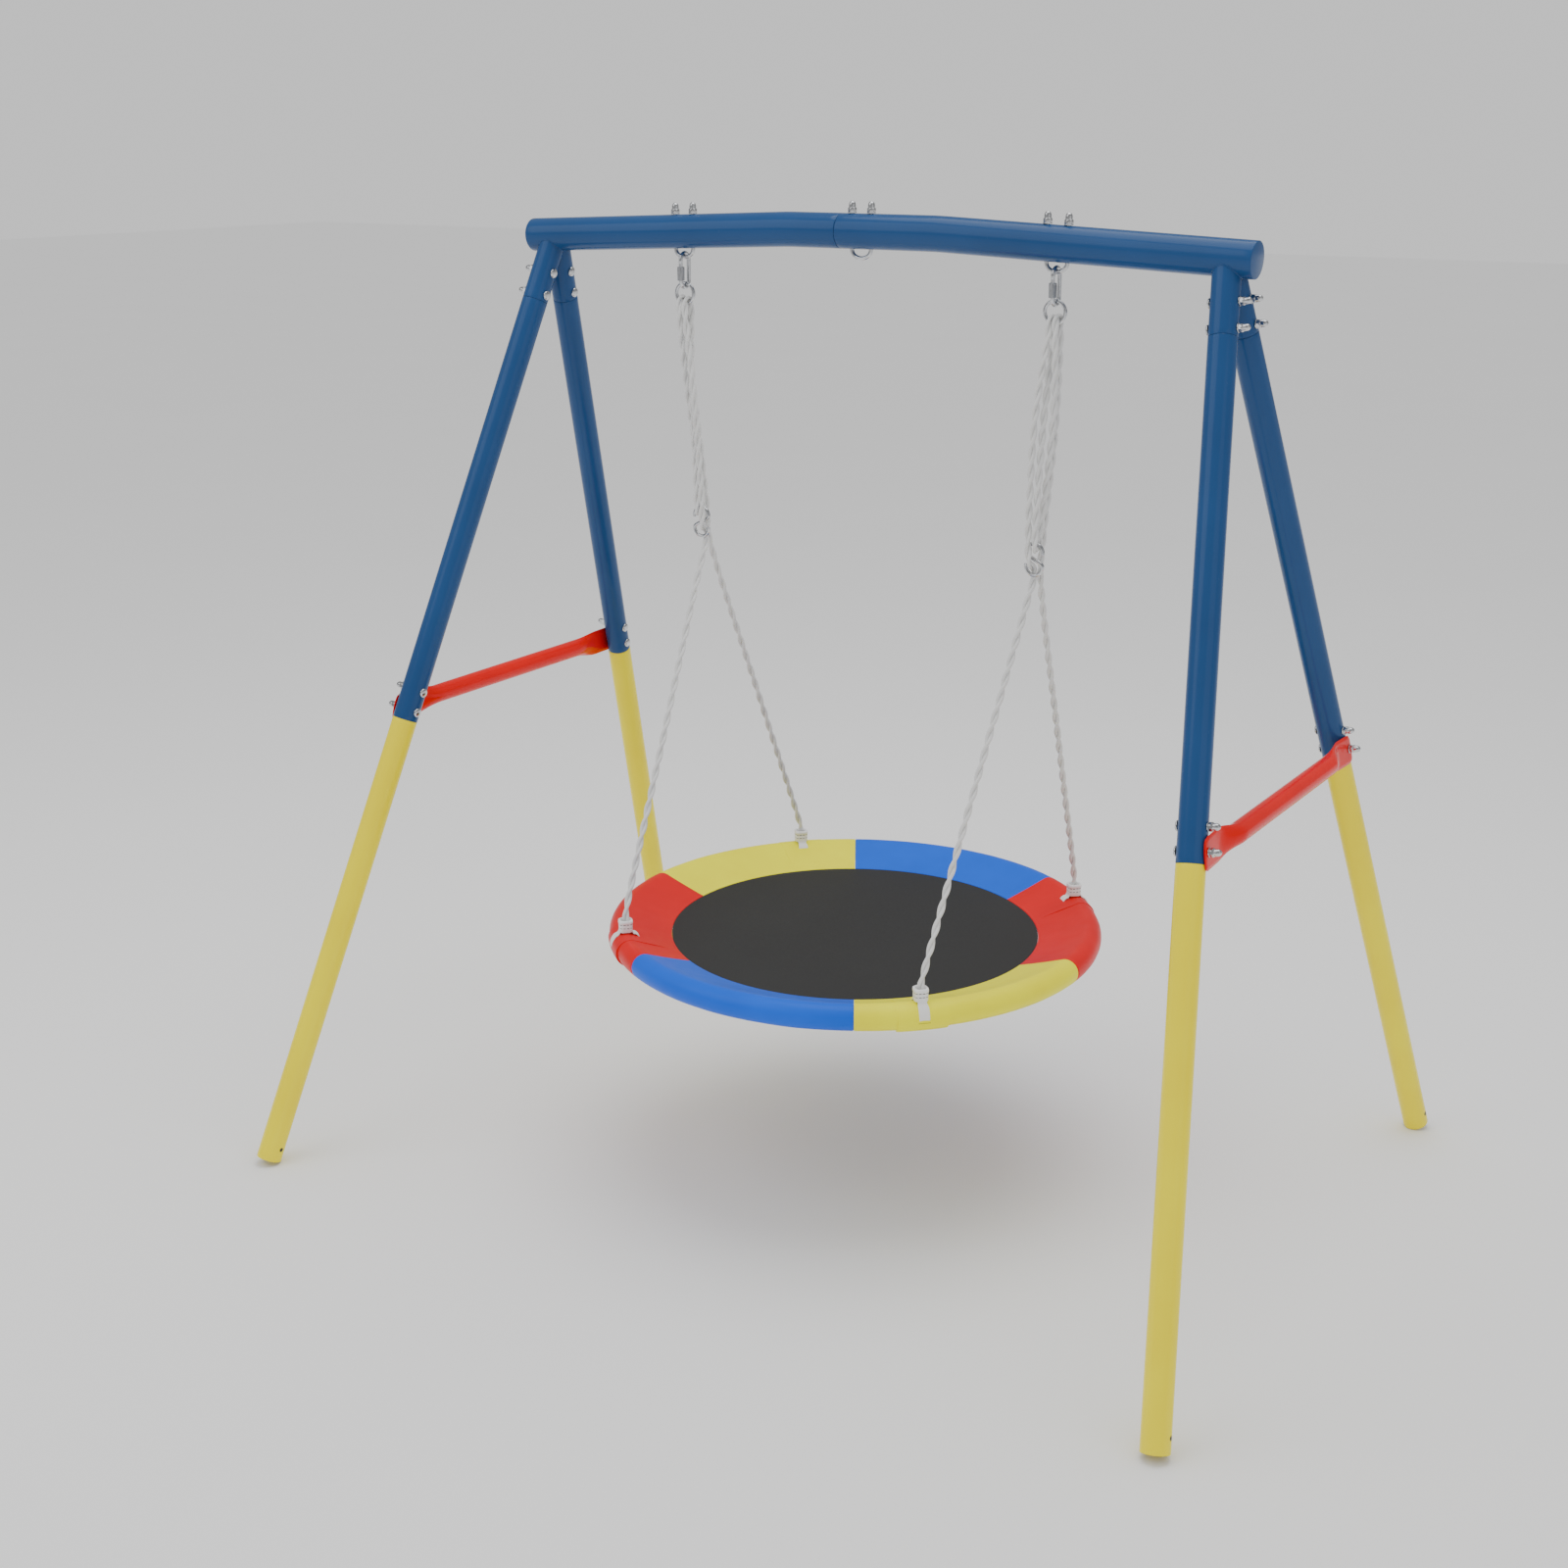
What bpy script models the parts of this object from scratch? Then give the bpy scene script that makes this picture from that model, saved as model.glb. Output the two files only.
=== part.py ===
"""Saucer swing on a steel A-frame: a padded round seat hung by two doubled ropes under a crossbeam.

Metres, +Z up, X along the crossbeam, -Y to the front. The origin is on the ground under the middle
of the frame.
"""

import math

import bmesh
import bpy
from mathutils import Matrix, Vector

# ---------------------------------------------------------------- driving dimensions (metres)
GAP = 0.0003  # clearance between touching pieces
CUT_PAST = 0.010  # a cutter runs this far beyond the end it opens
SPIGOT_NECK = 0.010  # a tube's bore stays wide this far behind its spigot, then narrows as far again

BEAM_RADIUS = 0.0325
BEAM_WALL = 0.0020
BEAM_HALF = 0.770
BEAM_LEVEL_HALF = 0.159  # the beam is level out to here, then droops
BEAM_TOP_Z = 1.870  # height of the level stretch's centre line
BEAM_DROOP = math.radians(2.5)
BEAM_SEAM_X = -0.0425
BEAM_SPIGOT_END_X = 0.055
TUBE_SIDES = 16
LEG_TWIST = 0.05  # turns the rear legs' facets a little, so front and rear sockets meet cleanly

LEG_RADIUS = 0.0255
LEG_WALL = 0.0016
LEG_HIP = Vector((0.7172, 0.0, 1.8456))  # where the right legs' axes meet in the beam
LEG_FOOT = Vector((0.983, -0.715, 0.0099))  # centre of the right front foot's end
STUB_END = 0.139  # distances down a leg's axis from the hip
UPPER_LEG_END = 1.0325
UPPER_SPIGOT_TOP = 0.066
LOWER_SPIGOT_LENGTH = 0.085
BOLT_STATIONS = (0.078, 0.1245, 0.9695, 1.012)
ANCHOR_HOLE_UP = 0.0275
HOLE_RADIUS = 0.0049
HOLE_SIDES = 6
HOLE_REACH = 0.045  # half the length of a bolt hole's cutter
HOLE_TWIST = 0.3  # keeps the corners of the beam's upright holes off its facets' edges

BOLT_RADIUS = 0.004
BOLT_SIDES = 6
EYE_SIDES = 12
BOLT_HEAD_RADIUS = 0.0097
BOLT_HEAD_HEIGHT = 0.005
BOLT_HEAD_CROWN = 0.45  # the flat top of the domed head, as a share of its radius
WASHER_RADIUS = 0.0085
WASHER_THICKNESS = 0.0015
NUT_CORNER = 0.0081
NUT_HEIGHT = 0.008
DOME_RADIUS = 0.0065
DOME_HEIGHT = 0.012
DOME_SHOULDER = (0.6, 0.9)  # shares of the dome's height and radius where it starts to round over
DOME_CROWN = 0.3

BRACE_RADIUS = 0.019
BRACE_WALL = 0.0015
BRACE_X = 0.883
BRACE_Z = 0.9125
BRACE_FLAT_HALF_HEIGHT = 0.030
BRACE_FLAT_HALF_THICK = 0.002
BRACE_OVERHANG = 0.024  # the flattened end runs this far past its bolt
BRACE_FLAT_INSIDE = 0.050
BRACE_ROUND_INSIDE = 0.130
BRACE_SIDES = 12
BRACE_CORNER = 0.012  # the flattened end's cut corners start this far from its tip
BRACE_TIP_NARROWER = 0.010

HANG_X = 0.400  # the two swing hangers, left and right of the middle
EYE_HALF_SPAN = 0.0205
EYE_WIRE = 0.004
EYE_DROP = 0.049  # from the beam's centre line to the bow's lowest wire centre
EYE_BEND_DROP = 0.033  # and to where the bow starts to bend, just clear of the beam
EYE_SEAT_GAP = 0.0008  # keeps the washers' low edges off the drooping beam

LINK_WIRE = 0.004
LINK_HALF_WIDTH = 0.0135
LINK_TOP_Z = 1.8050  # centres of the two end bends
LINK_LOW_Z = 1.7661
LINK_GAP_LOW_Z = 1.769
LINK_GAP_TOP_Z = 1.778
SLEEVE_LOW_Z = 1.7665
SLEEVE_TOP_Z = 1.7925
SLEEVE_BORE = 0.0046
SLEEVE_CORNER = 0.0078

RING_RADIUS = 0.020
RING_WIRE = 0.0035
RING_Z = 1.7404

HOOK_X = 0.372
HOOK_Y = 0.008
HOOK_WIRE = 0.0035
HOOK_LOOP = 0.017
HOOK_UPPER_Z = 1.3013
HOOK_LOWER_Z = 1.2763
HOOK_LIP = math.radians(8)  # how far each open end runs past level

SEAT_RADIUS = 0.4743  # the hoop's centre line
SEAT_Z = 0.4923
HOOP_RADIUS = 0.014
HOOP_BORE = 0.0125
HOOP_SPIGOT = 0.0121
HOOP_SPIGOT_BORE = 0.0108
HOOP_SPIGOT_TURN = math.radians(3)
FOAM_BORE = 0.0144
FOAM_RADIUS = 0.0233
COVER_INSIDE = 0.0246
COVER_OUTSIDE = 0.0257
SEAT_STEP = math.radians(10)
TUBE_TURN_SIDES = 7
COVER_LIP_ANGLE = 145  # where the cover's cloth ends under the band, in degrees round the tube
BAND_THICKNESS = 0.0015
BAND_ROOT = 0.004  # how far down the band its underside leaves the padded tube
MAT_RADIUS = 0.373
MAT_TOP_Z = 0.484
MAT_THICKNESS = 0.002

HANGER_ANGLE = math.radians(45)
# the seat's facets are straight here, so the fittings sit on the chord and not on the arc
HANGER_RADIUS = SEAT_RADIUS * math.cos(SEAT_STEP / 2)
STRAP_HALF_WIDTH = 0.010
STRAP_THICKNESS = 0.0020
STRAP_FIRST_ANGLE = -4
STRAP_ON_BAND = 0.016
COLLAR_RADIUS = 0.0150
COLLAR_MOUTH = 0.0105
COLLAR_LOW_Z = 0.5212
COLLAR_FLOOR_Z = 0.5375
COLLAR_TOP_Z = 0.5460
COLLAR_FOOT = 0.9  # the foot's radius, as a share of the collar's
COLLAR_RIB = 0.006  # height of the lower rib's widest ring
COLLAR_GROOVE = (0.010, 0.93)  # the groove's height and its radius, as a share of the collar's
COLLAR_SHOULDER = 0.014
COLLAR_CHAMFER = 0.003

ROPE_RADIUS = 0.006
ROPE_END_Z = 0.542
ROPE_STEP = 0.200  # the longest straight piece read from the smooth curve

UP = Vector((0, 0, 1))
ALONG = Vector((1, 0, 0))
ACROSS = Vector((0, 1, 0))

# ---------------------------------------------------------------- materials
MATERIALS = {
    "frame_blue": ((0.016, 0.080, 0.205), 0.28, 0.0),
    "frame_yellow": ((1.0, 0.86, 0.008), 0.30, 0.0),
    "frame_red": ((0.95, 0.010, 0.008), 0.30, 0.0),
    "zinc_steel": ((0.72, 0.73, 0.75), 0.22, 1.0),
    "sleeve_steel": ((0.42, 0.43, 0.45), 0.40, 1.0),
    "hoop_steel": ((0.45, 0.46, 0.48), 0.45, 1.0),
    "foam_grey": ((0.20, 0.20, 0.21), 0.95, 0.0),
    "cover_red": ((0.85, 0.045, 0.045), 0.62, 0.0),
    "cover_blue": ((0.013, 0.190, 0.90), 0.62, 0.0),
    "cover_yellow": ((0.98, 0.93, 0.015), 0.62, 0.0),
    "mat_black": ((0.048, 0.048, 0.047), 0.70, 0.0),
    "rope_white": ((0.66, 0.66, 0.65), 0.75, 0.0),
    "webbing_white": ((0.82, 0.82, 0.82), 0.70, 0.0),
    "collar_white": ((0.86, 0.86, 0.86), 0.45, 0.0),
}


def make_material(name):
    """A Principled material in one of the part's colours."""
    colour, roughness, metallic = MATERIALS[name]
    material = bpy.data.materials.new(name)
    material.use_nodes = True
    shader = material.node_tree.nodes["Principled BSDF"]
    shader.inputs["Base Color"].default_value = (*colour, 1.0)
    shader.inputs["Roughness"].default_value = roughness
    shader.inputs["Metallic"].default_value = metallic
    return material


# ---------------------------------------------------------------- building helpers
def clear_scene():
    for item in list(bpy.data.objects):
        bpy.data.objects.remove(item)


def add_axis(name, place):
    """An empty on a joint's axis, for the moving pieces to hang from."""
    empty = bpy.data.objects.new(name, None)
    empty.location = place
    empty.empty_display_size = 0.05
    bpy.context.collection.objects.link(empty)
    return empty


def add_piece(name, mesh, material, origin=None, parent=None):
    """Puts a mesh built in world coordinates into the scene, with its origin at a given point."""
    centre = Vector(origin) if origin is not None else Vector((0, 0, 0))
    mesh.transform(Matrix.Translation(-centre))
    mesh.shade_smooth()
    mesh.set_sharp_from_angle(angle=math.radians(40))
    piece = bpy.data.objects.new(name, mesh)
    piece.location = centre
    if parent is not None:
        piece.parent = parent
        piece.location = centre - parent.location
    mesh.materials.append(bpy.data.materials[material])
    bpy.context.collection.objects.link(piece)
    return piece


def ring_points(station, sides, hint):
    """The corners of one cross-section. A hexagonal one keeps its corners every 60 degrees."""
    centre, axis, radius, hexagonal = station
    axis = axis.normalized()
    side = (hint - axis * hint.dot(axis)).normalized()
    other = axis.cross(side)
    points = []
    for index in range(sides):
        turn = 2 * math.pi * index / sides
        reach = radius
        if hexagonal:
            off_flat = (turn % (math.pi / 3)) - math.pi / 6
            reach = radius * math.cos(math.pi / 6) / math.cos(off_flat)
        points.append(centre + (side * math.cos(turn) + other * math.sin(turn)) * reach)
    return points


def mesh_from_rings(name, rings, looped=False):
    """Bridges rings of equal length, and caps the ends unless the rings close on themselves."""
    form = bmesh.new()
    loops = [[form.verts.new(point) for point in ring] for ring in rings]
    pairs = list(zip(loops, loops[1:]))
    if looped:
        pairs.append((loops[-1], loops[0]))
    for low, high in pairs:
        for index in range(len(low)):
            following = (index + 1) % len(low)
            form.faces.new((low[index], low[following], high[following], high[index]))
    if not looped:
        form.faces.new(list(reversed(loops[0])))
        form.faces.new(loops[-1])
    bmesh.ops.recalc_face_normals(form, faces=form.faces)
    mesh = bpy.data.meshes.new(name)
    form.to_mesh(mesh)
    form.free()
    return mesh


def loft(name, stations, sides, hint, looped=False):
    """A solid through round or hexagonal cross-sections: (centre, axis, radius, hexagonal)."""
    rings = [ring_points(station, sides, hint) for station in stations]
    return mesh_from_rings(name, rings, looped)


def straight_stations(start, axis, profile):
    """Cross-sections along a straight axis, from (distance, radius) or (distance, radius, True)."""
    stations = []
    for step in profile:
        stations.append((start + axis * step[0], axis, step[1], len(step) > 2))
    return stations


def tube_mesh(name, start, axis, outside, inside, sides, hint):
    """A hollow turned solid: an outer profile, then an inner one that comes back."""
    stations = straight_stations(start, axis, outside + inside)
    return loft(name, stations, sides, hint, looped=True)


def joined_mesh(name, meshes):
    """One mesh holding several separate closed shapes, as cutters need."""
    form = bmesh.new()
    for mesh in meshes:
        form.from_mesh(mesh)
        bpy.data.meshes.remove(mesh)
    whole = bpy.data.meshes.new(name)
    form.to_mesh(whole)
    form.free()
    return whole


def add_tool(name, meshes):
    """A hidden cutter or a hidden shape to weld on."""
    tool = bpy.data.objects.new(name, joined_mesh(name, meshes))
    tool.hide_render = True
    tool.display_type = "WIRE"
    bpy.context.collection.objects.link(tool)
    return tool


def boolean(piece, tool, operation):
    step = piece.modifiers.new(operation.lower(), "BOOLEAN")
    step.operation = operation
    step.object = tool
    step.solver = "EXACT"


def rod_mesh(start, end, radius, sides, hint):
    """A plain closed cylinder between two points."""
    axis = (end - start).normalized()
    stations = [(start, axis, radius, False), (end, axis, radius, False)]
    return loft("rod", stations, sides, hint)


# ---------------------------------------------------------------- the frame's own geometry
def beam_centre(x):
    """A point on the crossbeam's centre line, which droops evenly outside its level middle."""
    beyond = max(0.0, abs(x) - BEAM_LEVEL_HALF)
    return Vector((x, 0, BEAM_TOP_Z - beyond * math.tan(BEAM_DROOP)))


def beam_axis(x):
    droop = BEAM_DROOP if abs(x) > BEAM_LEVEL_HALF else 0.0
    if abs(x) == BEAM_LEVEL_HALF:
        droop = BEAM_DROOP / 2
    return Vector((math.cos(droop), 0, -math.copysign(math.sin(droop), x)))


def leg_frame(side, front):
    """The hip, the axis down the leg and the sideways bolt direction. side is 1 right, front -1."""
    flip = Vector((side, -front, 1))
    hip = LEG_HIP * flip
    axis = ((LEG_FOOT - LEG_HIP) * flip).normalized()
    outward = (ALONG * side - axis * axis.dot(ALONG * side)).normalized()
    return hip, axis, outward


def leg_hint(side, front):
    """The direction towards which a leg's facets are lined up: its lowest corner points down."""
    return ALONG * side * (LEG_TWIST if front > 0 else 0.0) - UP


def leg_length():
    return (LEG_FOOT - LEG_HIP).length


def bolt_hole(hip, axis, outward, distance):
    centre = hip + axis * distance
    reach = outward * HOLE_REACH
    return rod_mesh(centre - reach, centre + reach, HOLE_RADIUS, HOLE_SIDES, axis)


def side_name(side):
    return "right" if side > 0 else "left"


def end_name(front):
    return "front" if front < 0 else "rear"


def crossbeam(side):
    """Half of the crossbeam, with its end disc and its two welded leg sockets."""
    spigot = BEAM_RADIUS - BEAM_WALL - GAP
    if side < 0:
        places = (-BEAM_HALF, -BEAM_LEVEL_HALF, BEAM_SEAM_X, BEAM_SEAM_X, BEAM_SPIGOT_END_X)
        radii = (BEAM_RADIUS, BEAM_RADIUS, BEAM_RADIUS, spigot, spigot)
    else:
        places = (BEAM_SEAM_X + GAP, BEAM_LEVEL_HALF, BEAM_HALF)
        radii = (BEAM_RADIUS,) * 3
    stations = [
        (beam_centre(x), beam_axis(x), radius, False) for x, radius in zip(places, radii)
    ]
    name = "crossbeam_" + side_name(side)
    beam = add_piece(
        name, loft(name, stations, TUBE_SIDES, UP), "frame_blue", (side * HANG_X, 0, BEAM_TOP_Z)
    )

    sockets = []
    sinks = []
    for front in (-1, 1):
        hip, axis, outward = leg_frame(side, front)
        stub_start = hip + axis * BEAM_WALL
        stub_end = hip + axis * STUB_END
        socket = rod_mesh(stub_start, stub_end, LEG_RADIUS, TUBE_SIDES, leg_hint(side, front))
        sockets.append(add_tool(f"socket_{side_name(side)}_{end_name(front)}", [socket]))
        bore_top = hip + axis * (UPPER_SPIGOT_TOP - GAP)
        bore_end = hip + axis * (STUB_END + CUT_PAST)
        bore_radius = LEG_RADIUS - LEG_WALL
        bore = rod_mesh(bore_top, bore_end, bore_radius, TUBE_SIDES, leg_hint(side, front))
        holes = [bolt_hole(hip, axis, outward, d) for d in BOLT_STATIONS[:2]]
        sinks.append(add_tool(f"socket_bore_{side_name(side)}_{end_name(front)}", [bore]))
        sinks.append(add_tool(f"socket_holes_{side_name(side)}_{end_name(front)}", holes))
    for socket in sockets:
        boolean(beam, socket, "UNION")

    disc = BEAM_WALL
    bore_radius = BEAM_RADIUS - BEAM_WALL
    spigot_bore = spigot - BEAM_WALL
    if side < 0:
        bore_places = (-BEAM_HALF + disc, -BEAM_LEVEL_HALF, BEAM_SEAM_X - 2 * SPIGOT_NECK,
                       BEAM_SEAM_X - SPIGOT_NECK, BEAM_SPIGOT_END_X + CUT_PAST)
        bore_radii = (bore_radius, bore_radius, bore_radius, spigot_bore, spigot_bore)
    else:
        bore_places = (BEAM_SEAM_X - CUT_PAST, BEAM_LEVEL_HALF, BEAM_HALF - disc)
        bore_radii = (bore_radius,) * 3
    bore_stations = [
        (beam_centre(x), beam_axis(x), r, False) for x, r in zip(bore_places, bore_radii)
    ]
    sinks.append(add_tool("beam_bore_" + side_name(side),
                          [loft("bore", bore_stations, TUBE_SIDES, UP)]))
    eye_holes = []
    hole_hint = ALONG + ACROSS * HOLE_TWIST
    for centre_x in (side * HANG_X, 0.0):
        for leg_x in (centre_x - EYE_HALF_SPAN, centre_x + EYE_HALF_SPAN):
            middle = beam_centre(leg_x)
            reach = UP * HOLE_REACH
            hole = rod_mesh(middle - reach, middle + reach, HOLE_RADIUS, HOLE_SIDES, hole_hint)
            eye_holes.append(hole)
    sinks.append(add_tool("eye_holes_" + side_name(side), eye_holes))
    for sink in sinks:
        boolean(beam, sink, "DIFFERENCE")


def upper_leg(side, front):
    hip, axis, outward = leg_frame(side, front)
    spigot = LEG_RADIUS - LEG_WALL - GAP
    spigot_bore = spigot - LEG_WALL
    bore = LEG_RADIUS - LEG_WALL
    outside = [(UPPER_SPIGOT_TOP, spigot), (STUB_END + GAP, spigot), (STUB_END + GAP, LEG_RADIUS),
               (UPPER_LEG_END, LEG_RADIUS)]
    inside = [(UPPER_LEG_END, bore), (STUB_END + 2 * SPIGOT_NECK, bore),
              (STUB_END + SPIGOT_NECK, spigot_bore), (UPPER_SPIGOT_TOP, spigot_bore)]
    name = f"upper_leg_{end_name(front)}_{side_name(side)}"
    mesh = tube_mesh(name, hip, axis, outside, inside, TUBE_SIDES, leg_hint(side, front))
    leg = add_piece(name, mesh, "frame_blue", hip + axis * STUB_END)
    holes = [bolt_hole(hip, axis, outward, distance) for distance in BOLT_STATIONS]
    boolean(leg, add_tool(name + "_holes", holes), "DIFFERENCE")


def lower_leg(side, front):
    hip, axis, outward = leg_frame(side, front)
    spigot = LEG_RADIUS - LEG_WALL - GAP
    spigot_bore = spigot - LEG_WALL
    bore = LEG_RADIUS - LEG_WALL
    top = UPPER_LEG_END - LOWER_SPIGOT_LENGTH
    shoulder = UPPER_LEG_END + GAP
    foot = leg_length()
    outside = [(top, spigot), (shoulder, spigot), (shoulder, LEG_RADIUS), (foot, LEG_RADIUS)]
    inside = [(foot, bore), (shoulder + 2 * SPIGOT_NECK, bore),
              (shoulder + SPIGOT_NECK, spigot_bore), (top, spigot_bore)]
    name = f"lower_leg_{end_name(front)}_{side_name(side)}"
    mesh = tube_mesh(name, hip, axis, outside, inside, TUBE_SIDES, leg_hint(side, front))
    leg = add_piece(name, mesh, "frame_yellow", hip + axis * foot)
    stations = BOLT_STATIONS[2:] + (foot - ANCHOR_HOLE_UP,)
    holes = [bolt_hole(hip, axis, outward, distance) for distance in stations]
    boolean(leg, add_tool(name + "_holes", holes), "DIFFERENCE")


def nut_profile(seat, shank):
    """Washer, hexagonal nut and dome standing on a seat, round a shank that comes up into them."""
    washer_top = seat + WASHER_THICKNESS
    nut_top = washer_top + NUT_HEIGHT
    shoulder_height, shoulder_radius = DOME_SHOULDER
    return [
        (seat, shank),
        (seat, WASHER_RADIUS),
        (washer_top, WASHER_RADIUS),
        (washer_top, NUT_CORNER, True),
        (nut_top, NUT_CORNER, True),
        (nut_top + DOME_HEIGHT * shoulder_height, DOME_RADIUS * shoulder_radius),
        (nut_top + DOME_HEIGHT, DOME_RADIUS * DOME_CROWN),
    ]


def leg_bolt(side, front, number):
    """A carriage bolt through a leg joint, with its washer and cap nut on the outer side."""
    hip, axis, outward = leg_frame(side, front)
    centre = hip + axis * BOLT_STATIONS[number]
    seat = LEG_RADIUS + GAP
    nut_seat = seat
    if number == 3:
        nut_seat += 2 * BRACE_FLAT_HALF_THICK + 2 * GAP
    head = BOLT_HEAD_RADIUS
    profile = [
        (-seat - BOLT_HEAD_HEIGHT, head * BOLT_HEAD_CROWN),
        (-seat, head),
        (-seat, BOLT_RADIUS),
    ] + nut_profile(nut_seat, BOLT_RADIUS)
    name = f"leg_bolt_{end_name(front)}_{side_name(side)}_{number + 1}"
    mesh = loft(name, straight_stations(centre, outward, profile), BOLT_SIDES, axis)
    add_piece(name, mesh, "zinc_steel", centre)


def cross_brace(side):
    """The round tube between a front and a rear leg, pinched flat where it is bolted to them."""
    hip, axis, outward = leg_frame(side, 1)
    bolt_point = hip + axis * BOLT_STATIONS[3]
    plate = bolt_point + outward * (LEG_RADIUS + GAP + BRACE_FLAT_HALF_THICK)
    flat_end = plate.y + BRACE_OVERHANG
    flat_start = plate.y - BRACE_FLAT_INSIDE
    round_start = plate.y - BRACE_ROUND_INSIDE
    half_run = [(round_start, 0.0), ((round_start + flat_start) / 2, 0.5), (flat_start, 1.0),
                (flat_end - BRACE_CORNER, 1.0), (flat_end, 1.0)]
    run = [(-y, flat) for y, flat in reversed(half_run)] + half_run

    def section(y, flat, wall):
        points = []
        for index in range(BRACE_SIDES):
            turn = 2 * math.pi * index / BRACE_SIDES
            round_x = (BRACE_RADIUS - wall) * math.cos(turn)
            round_z = (BRACE_RADIUS - wall) * math.sin(turn)
            height = BRACE_FLAT_HALF_HEIGHT - wall
            if abs(y) == flat_end:
                height -= BRACE_TIP_NARROWER
            thick = BRACE_FLAT_HALF_THICK - wall
            flat_z = height * math.asin(math.sin(turn)) / (math.pi / 2)
            spread = max(-1.0, min(1.0, 2 * math.cos(turn)))
            z = BRACE_Z + round_z * (1 - flat) + flat_z * flat
            lean = outward.y * (abs(y) - plate.y) + outward.z * (z - plate.z)
            flat_x = abs(plate.x) - lean / abs(outward.x)
            x_middle = BRACE_X * (1 - flat) + flat_x * flat
            x = x_middle + side * (round_x * (1 - flat) + thick * spread * flat)
            points.append(Vector((side * x, y, z)))
        return points

    outer = [section(y, flat, 0.0) for y, flat in run]
    inner = [section(y, flat, BRACE_WALL) for y, flat in reversed(run)]
    name = "cross_brace_" + side_name(side)
    mesh = mesh_from_rings(name, outer + inner, looped=True)
    brace = add_piece(name, mesh, "frame_red", (side * BRACE_X, 0, BRACE_Z))
    holes = []
    for front in (-1, 1):
        hip, axis, outward = leg_frame(side, front)
        holes.append(bolt_hole(hip, axis, outward, BOLT_STATIONS[3]))
    boolean(brace, add_tool(name + "_holes", holes), "DIFFERENCE")


def arc_stations(centre, radius, first, last, count, across, rise, wire):
    """Cross-sections along an arc in the plane of across and rise, angles in degrees from across."""
    stations = []
    for index in range(count + 1):
        angle = math.radians(first + (last - first) * index / count)
        outward = across * math.cos(angle) + rise * math.sin(angle)
        heading = rise * math.cos(angle) - across * math.sin(angle)
        if last < first:
            heading = -heading
        stations.append((centre + outward * radius, heading, wire, False))
    return stations


def eye_bolt(name, x):
    """A U-bolt through the beam, its bow hanging below and its two nuts on top."""
    middle = beam_centre(x)
    bow_low = middle.z - EYE_DROP
    bow_centre = Vector((x, 0, middle.z - EYE_BEND_DROP))
    bow_depth = UP * ((EYE_DROP - EYE_BEND_DROP) / EYE_HALF_SPAN)
    over_beam = BEAM_RADIUS / math.cos(BEAM_DROOP) + EYE_SEAT_GAP
    nut = nut_profile(0.0, EYE_WIRE)
    left_seat = beam_centre(x - EYE_HALF_SPAN) + UP * over_beam
    right_seat = beam_centre(x + EYE_HALF_SPAN) + UP * over_beam
    left = [(c, -a, r, h) for c, a, r, h in reversed(straight_stations(left_seat, UP, nut))]
    bow = arc_stations(bow_centre, EYE_HALF_SPAN, 180, 360, 8, ALONG, bow_depth, EYE_WIRE)
    right = straight_stations(right_seat, UP, nut)
    mesh = loft(name, left + bow + right, EYE_SIDES, ACROSS)
    add_piece(name, mesh, "zinc_steel", (x, 0, bow_low))


def quick_link(side, axis_empty):
    """An oval link of round wire, open in its front bar where the threaded sleeve closes it."""
    x = side * HANG_X
    top = Vector((x, 0, LINK_TOP_Z))
    low = Vector((x, 0, LINK_LOW_Z))
    start = (Vector((x, -LINK_HALF_WIDTH, LINK_GAP_TOP_Z)), UP, LINK_WIRE, False)
    end = (Vector((x, -LINK_HALF_WIDTH, LINK_GAP_LOW_Z)), UP, LINK_WIRE, False)
    over = arc_stations(top, LINK_HALF_WIDTH, 180, 0, 8, ACROSS, UP, LINK_WIRE)
    under = arc_stations(low, LINK_HALF_WIDTH, 360, 180, 8, ACROSS, UP, LINK_WIRE)
    name = "quick_link_" + side_name(side)
    mesh = loft(name, [start] + over + under + [end], 10, ALONG)
    add_piece(name, mesh, "zinc_steel", axis_empty.location, axis_empty)


def link_sleeve(side, axis_empty):
    """The hexagonal threaded sleeve that closes the link and screws up its bar to open it."""
    base = Vector((side * HANG_X, -LINK_HALF_WIDTH, 0))
    stations = straight_stations(base, UP, [
        (SLEEVE_LOW_Z, SLEEVE_CORNER, True),
        (SLEEVE_TOP_Z, SLEEVE_CORNER, True),
        (SLEEVE_TOP_Z, SLEEVE_BORE),
        (SLEEVE_LOW_Z, SLEEVE_BORE),
    ])
    name = "link_sleeve_" + side_name(side)
    mesh = loft(name, stations, EYE_SIDES, ALONG, looped=True)
    add_piece(name, mesh, "sleeve_steel", base + UP * SLEEVE_LOW_Z, axis_empty)


def hanging_ring(side, axis_empty):
    centre = Vector((side * HANG_X, 0, RING_Z))
    stations = arc_stations(centre, RING_RADIUS, 0, 360, 20, ALONG, UP, RING_WIRE)[:-1]
    name = "hanging_ring_" + side_name(side)
    mesh = loft(name, stations, 8, ACROSS, looped=True)
    add_piece(name, mesh, "zinc_steel", centre, axis_empty)


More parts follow.
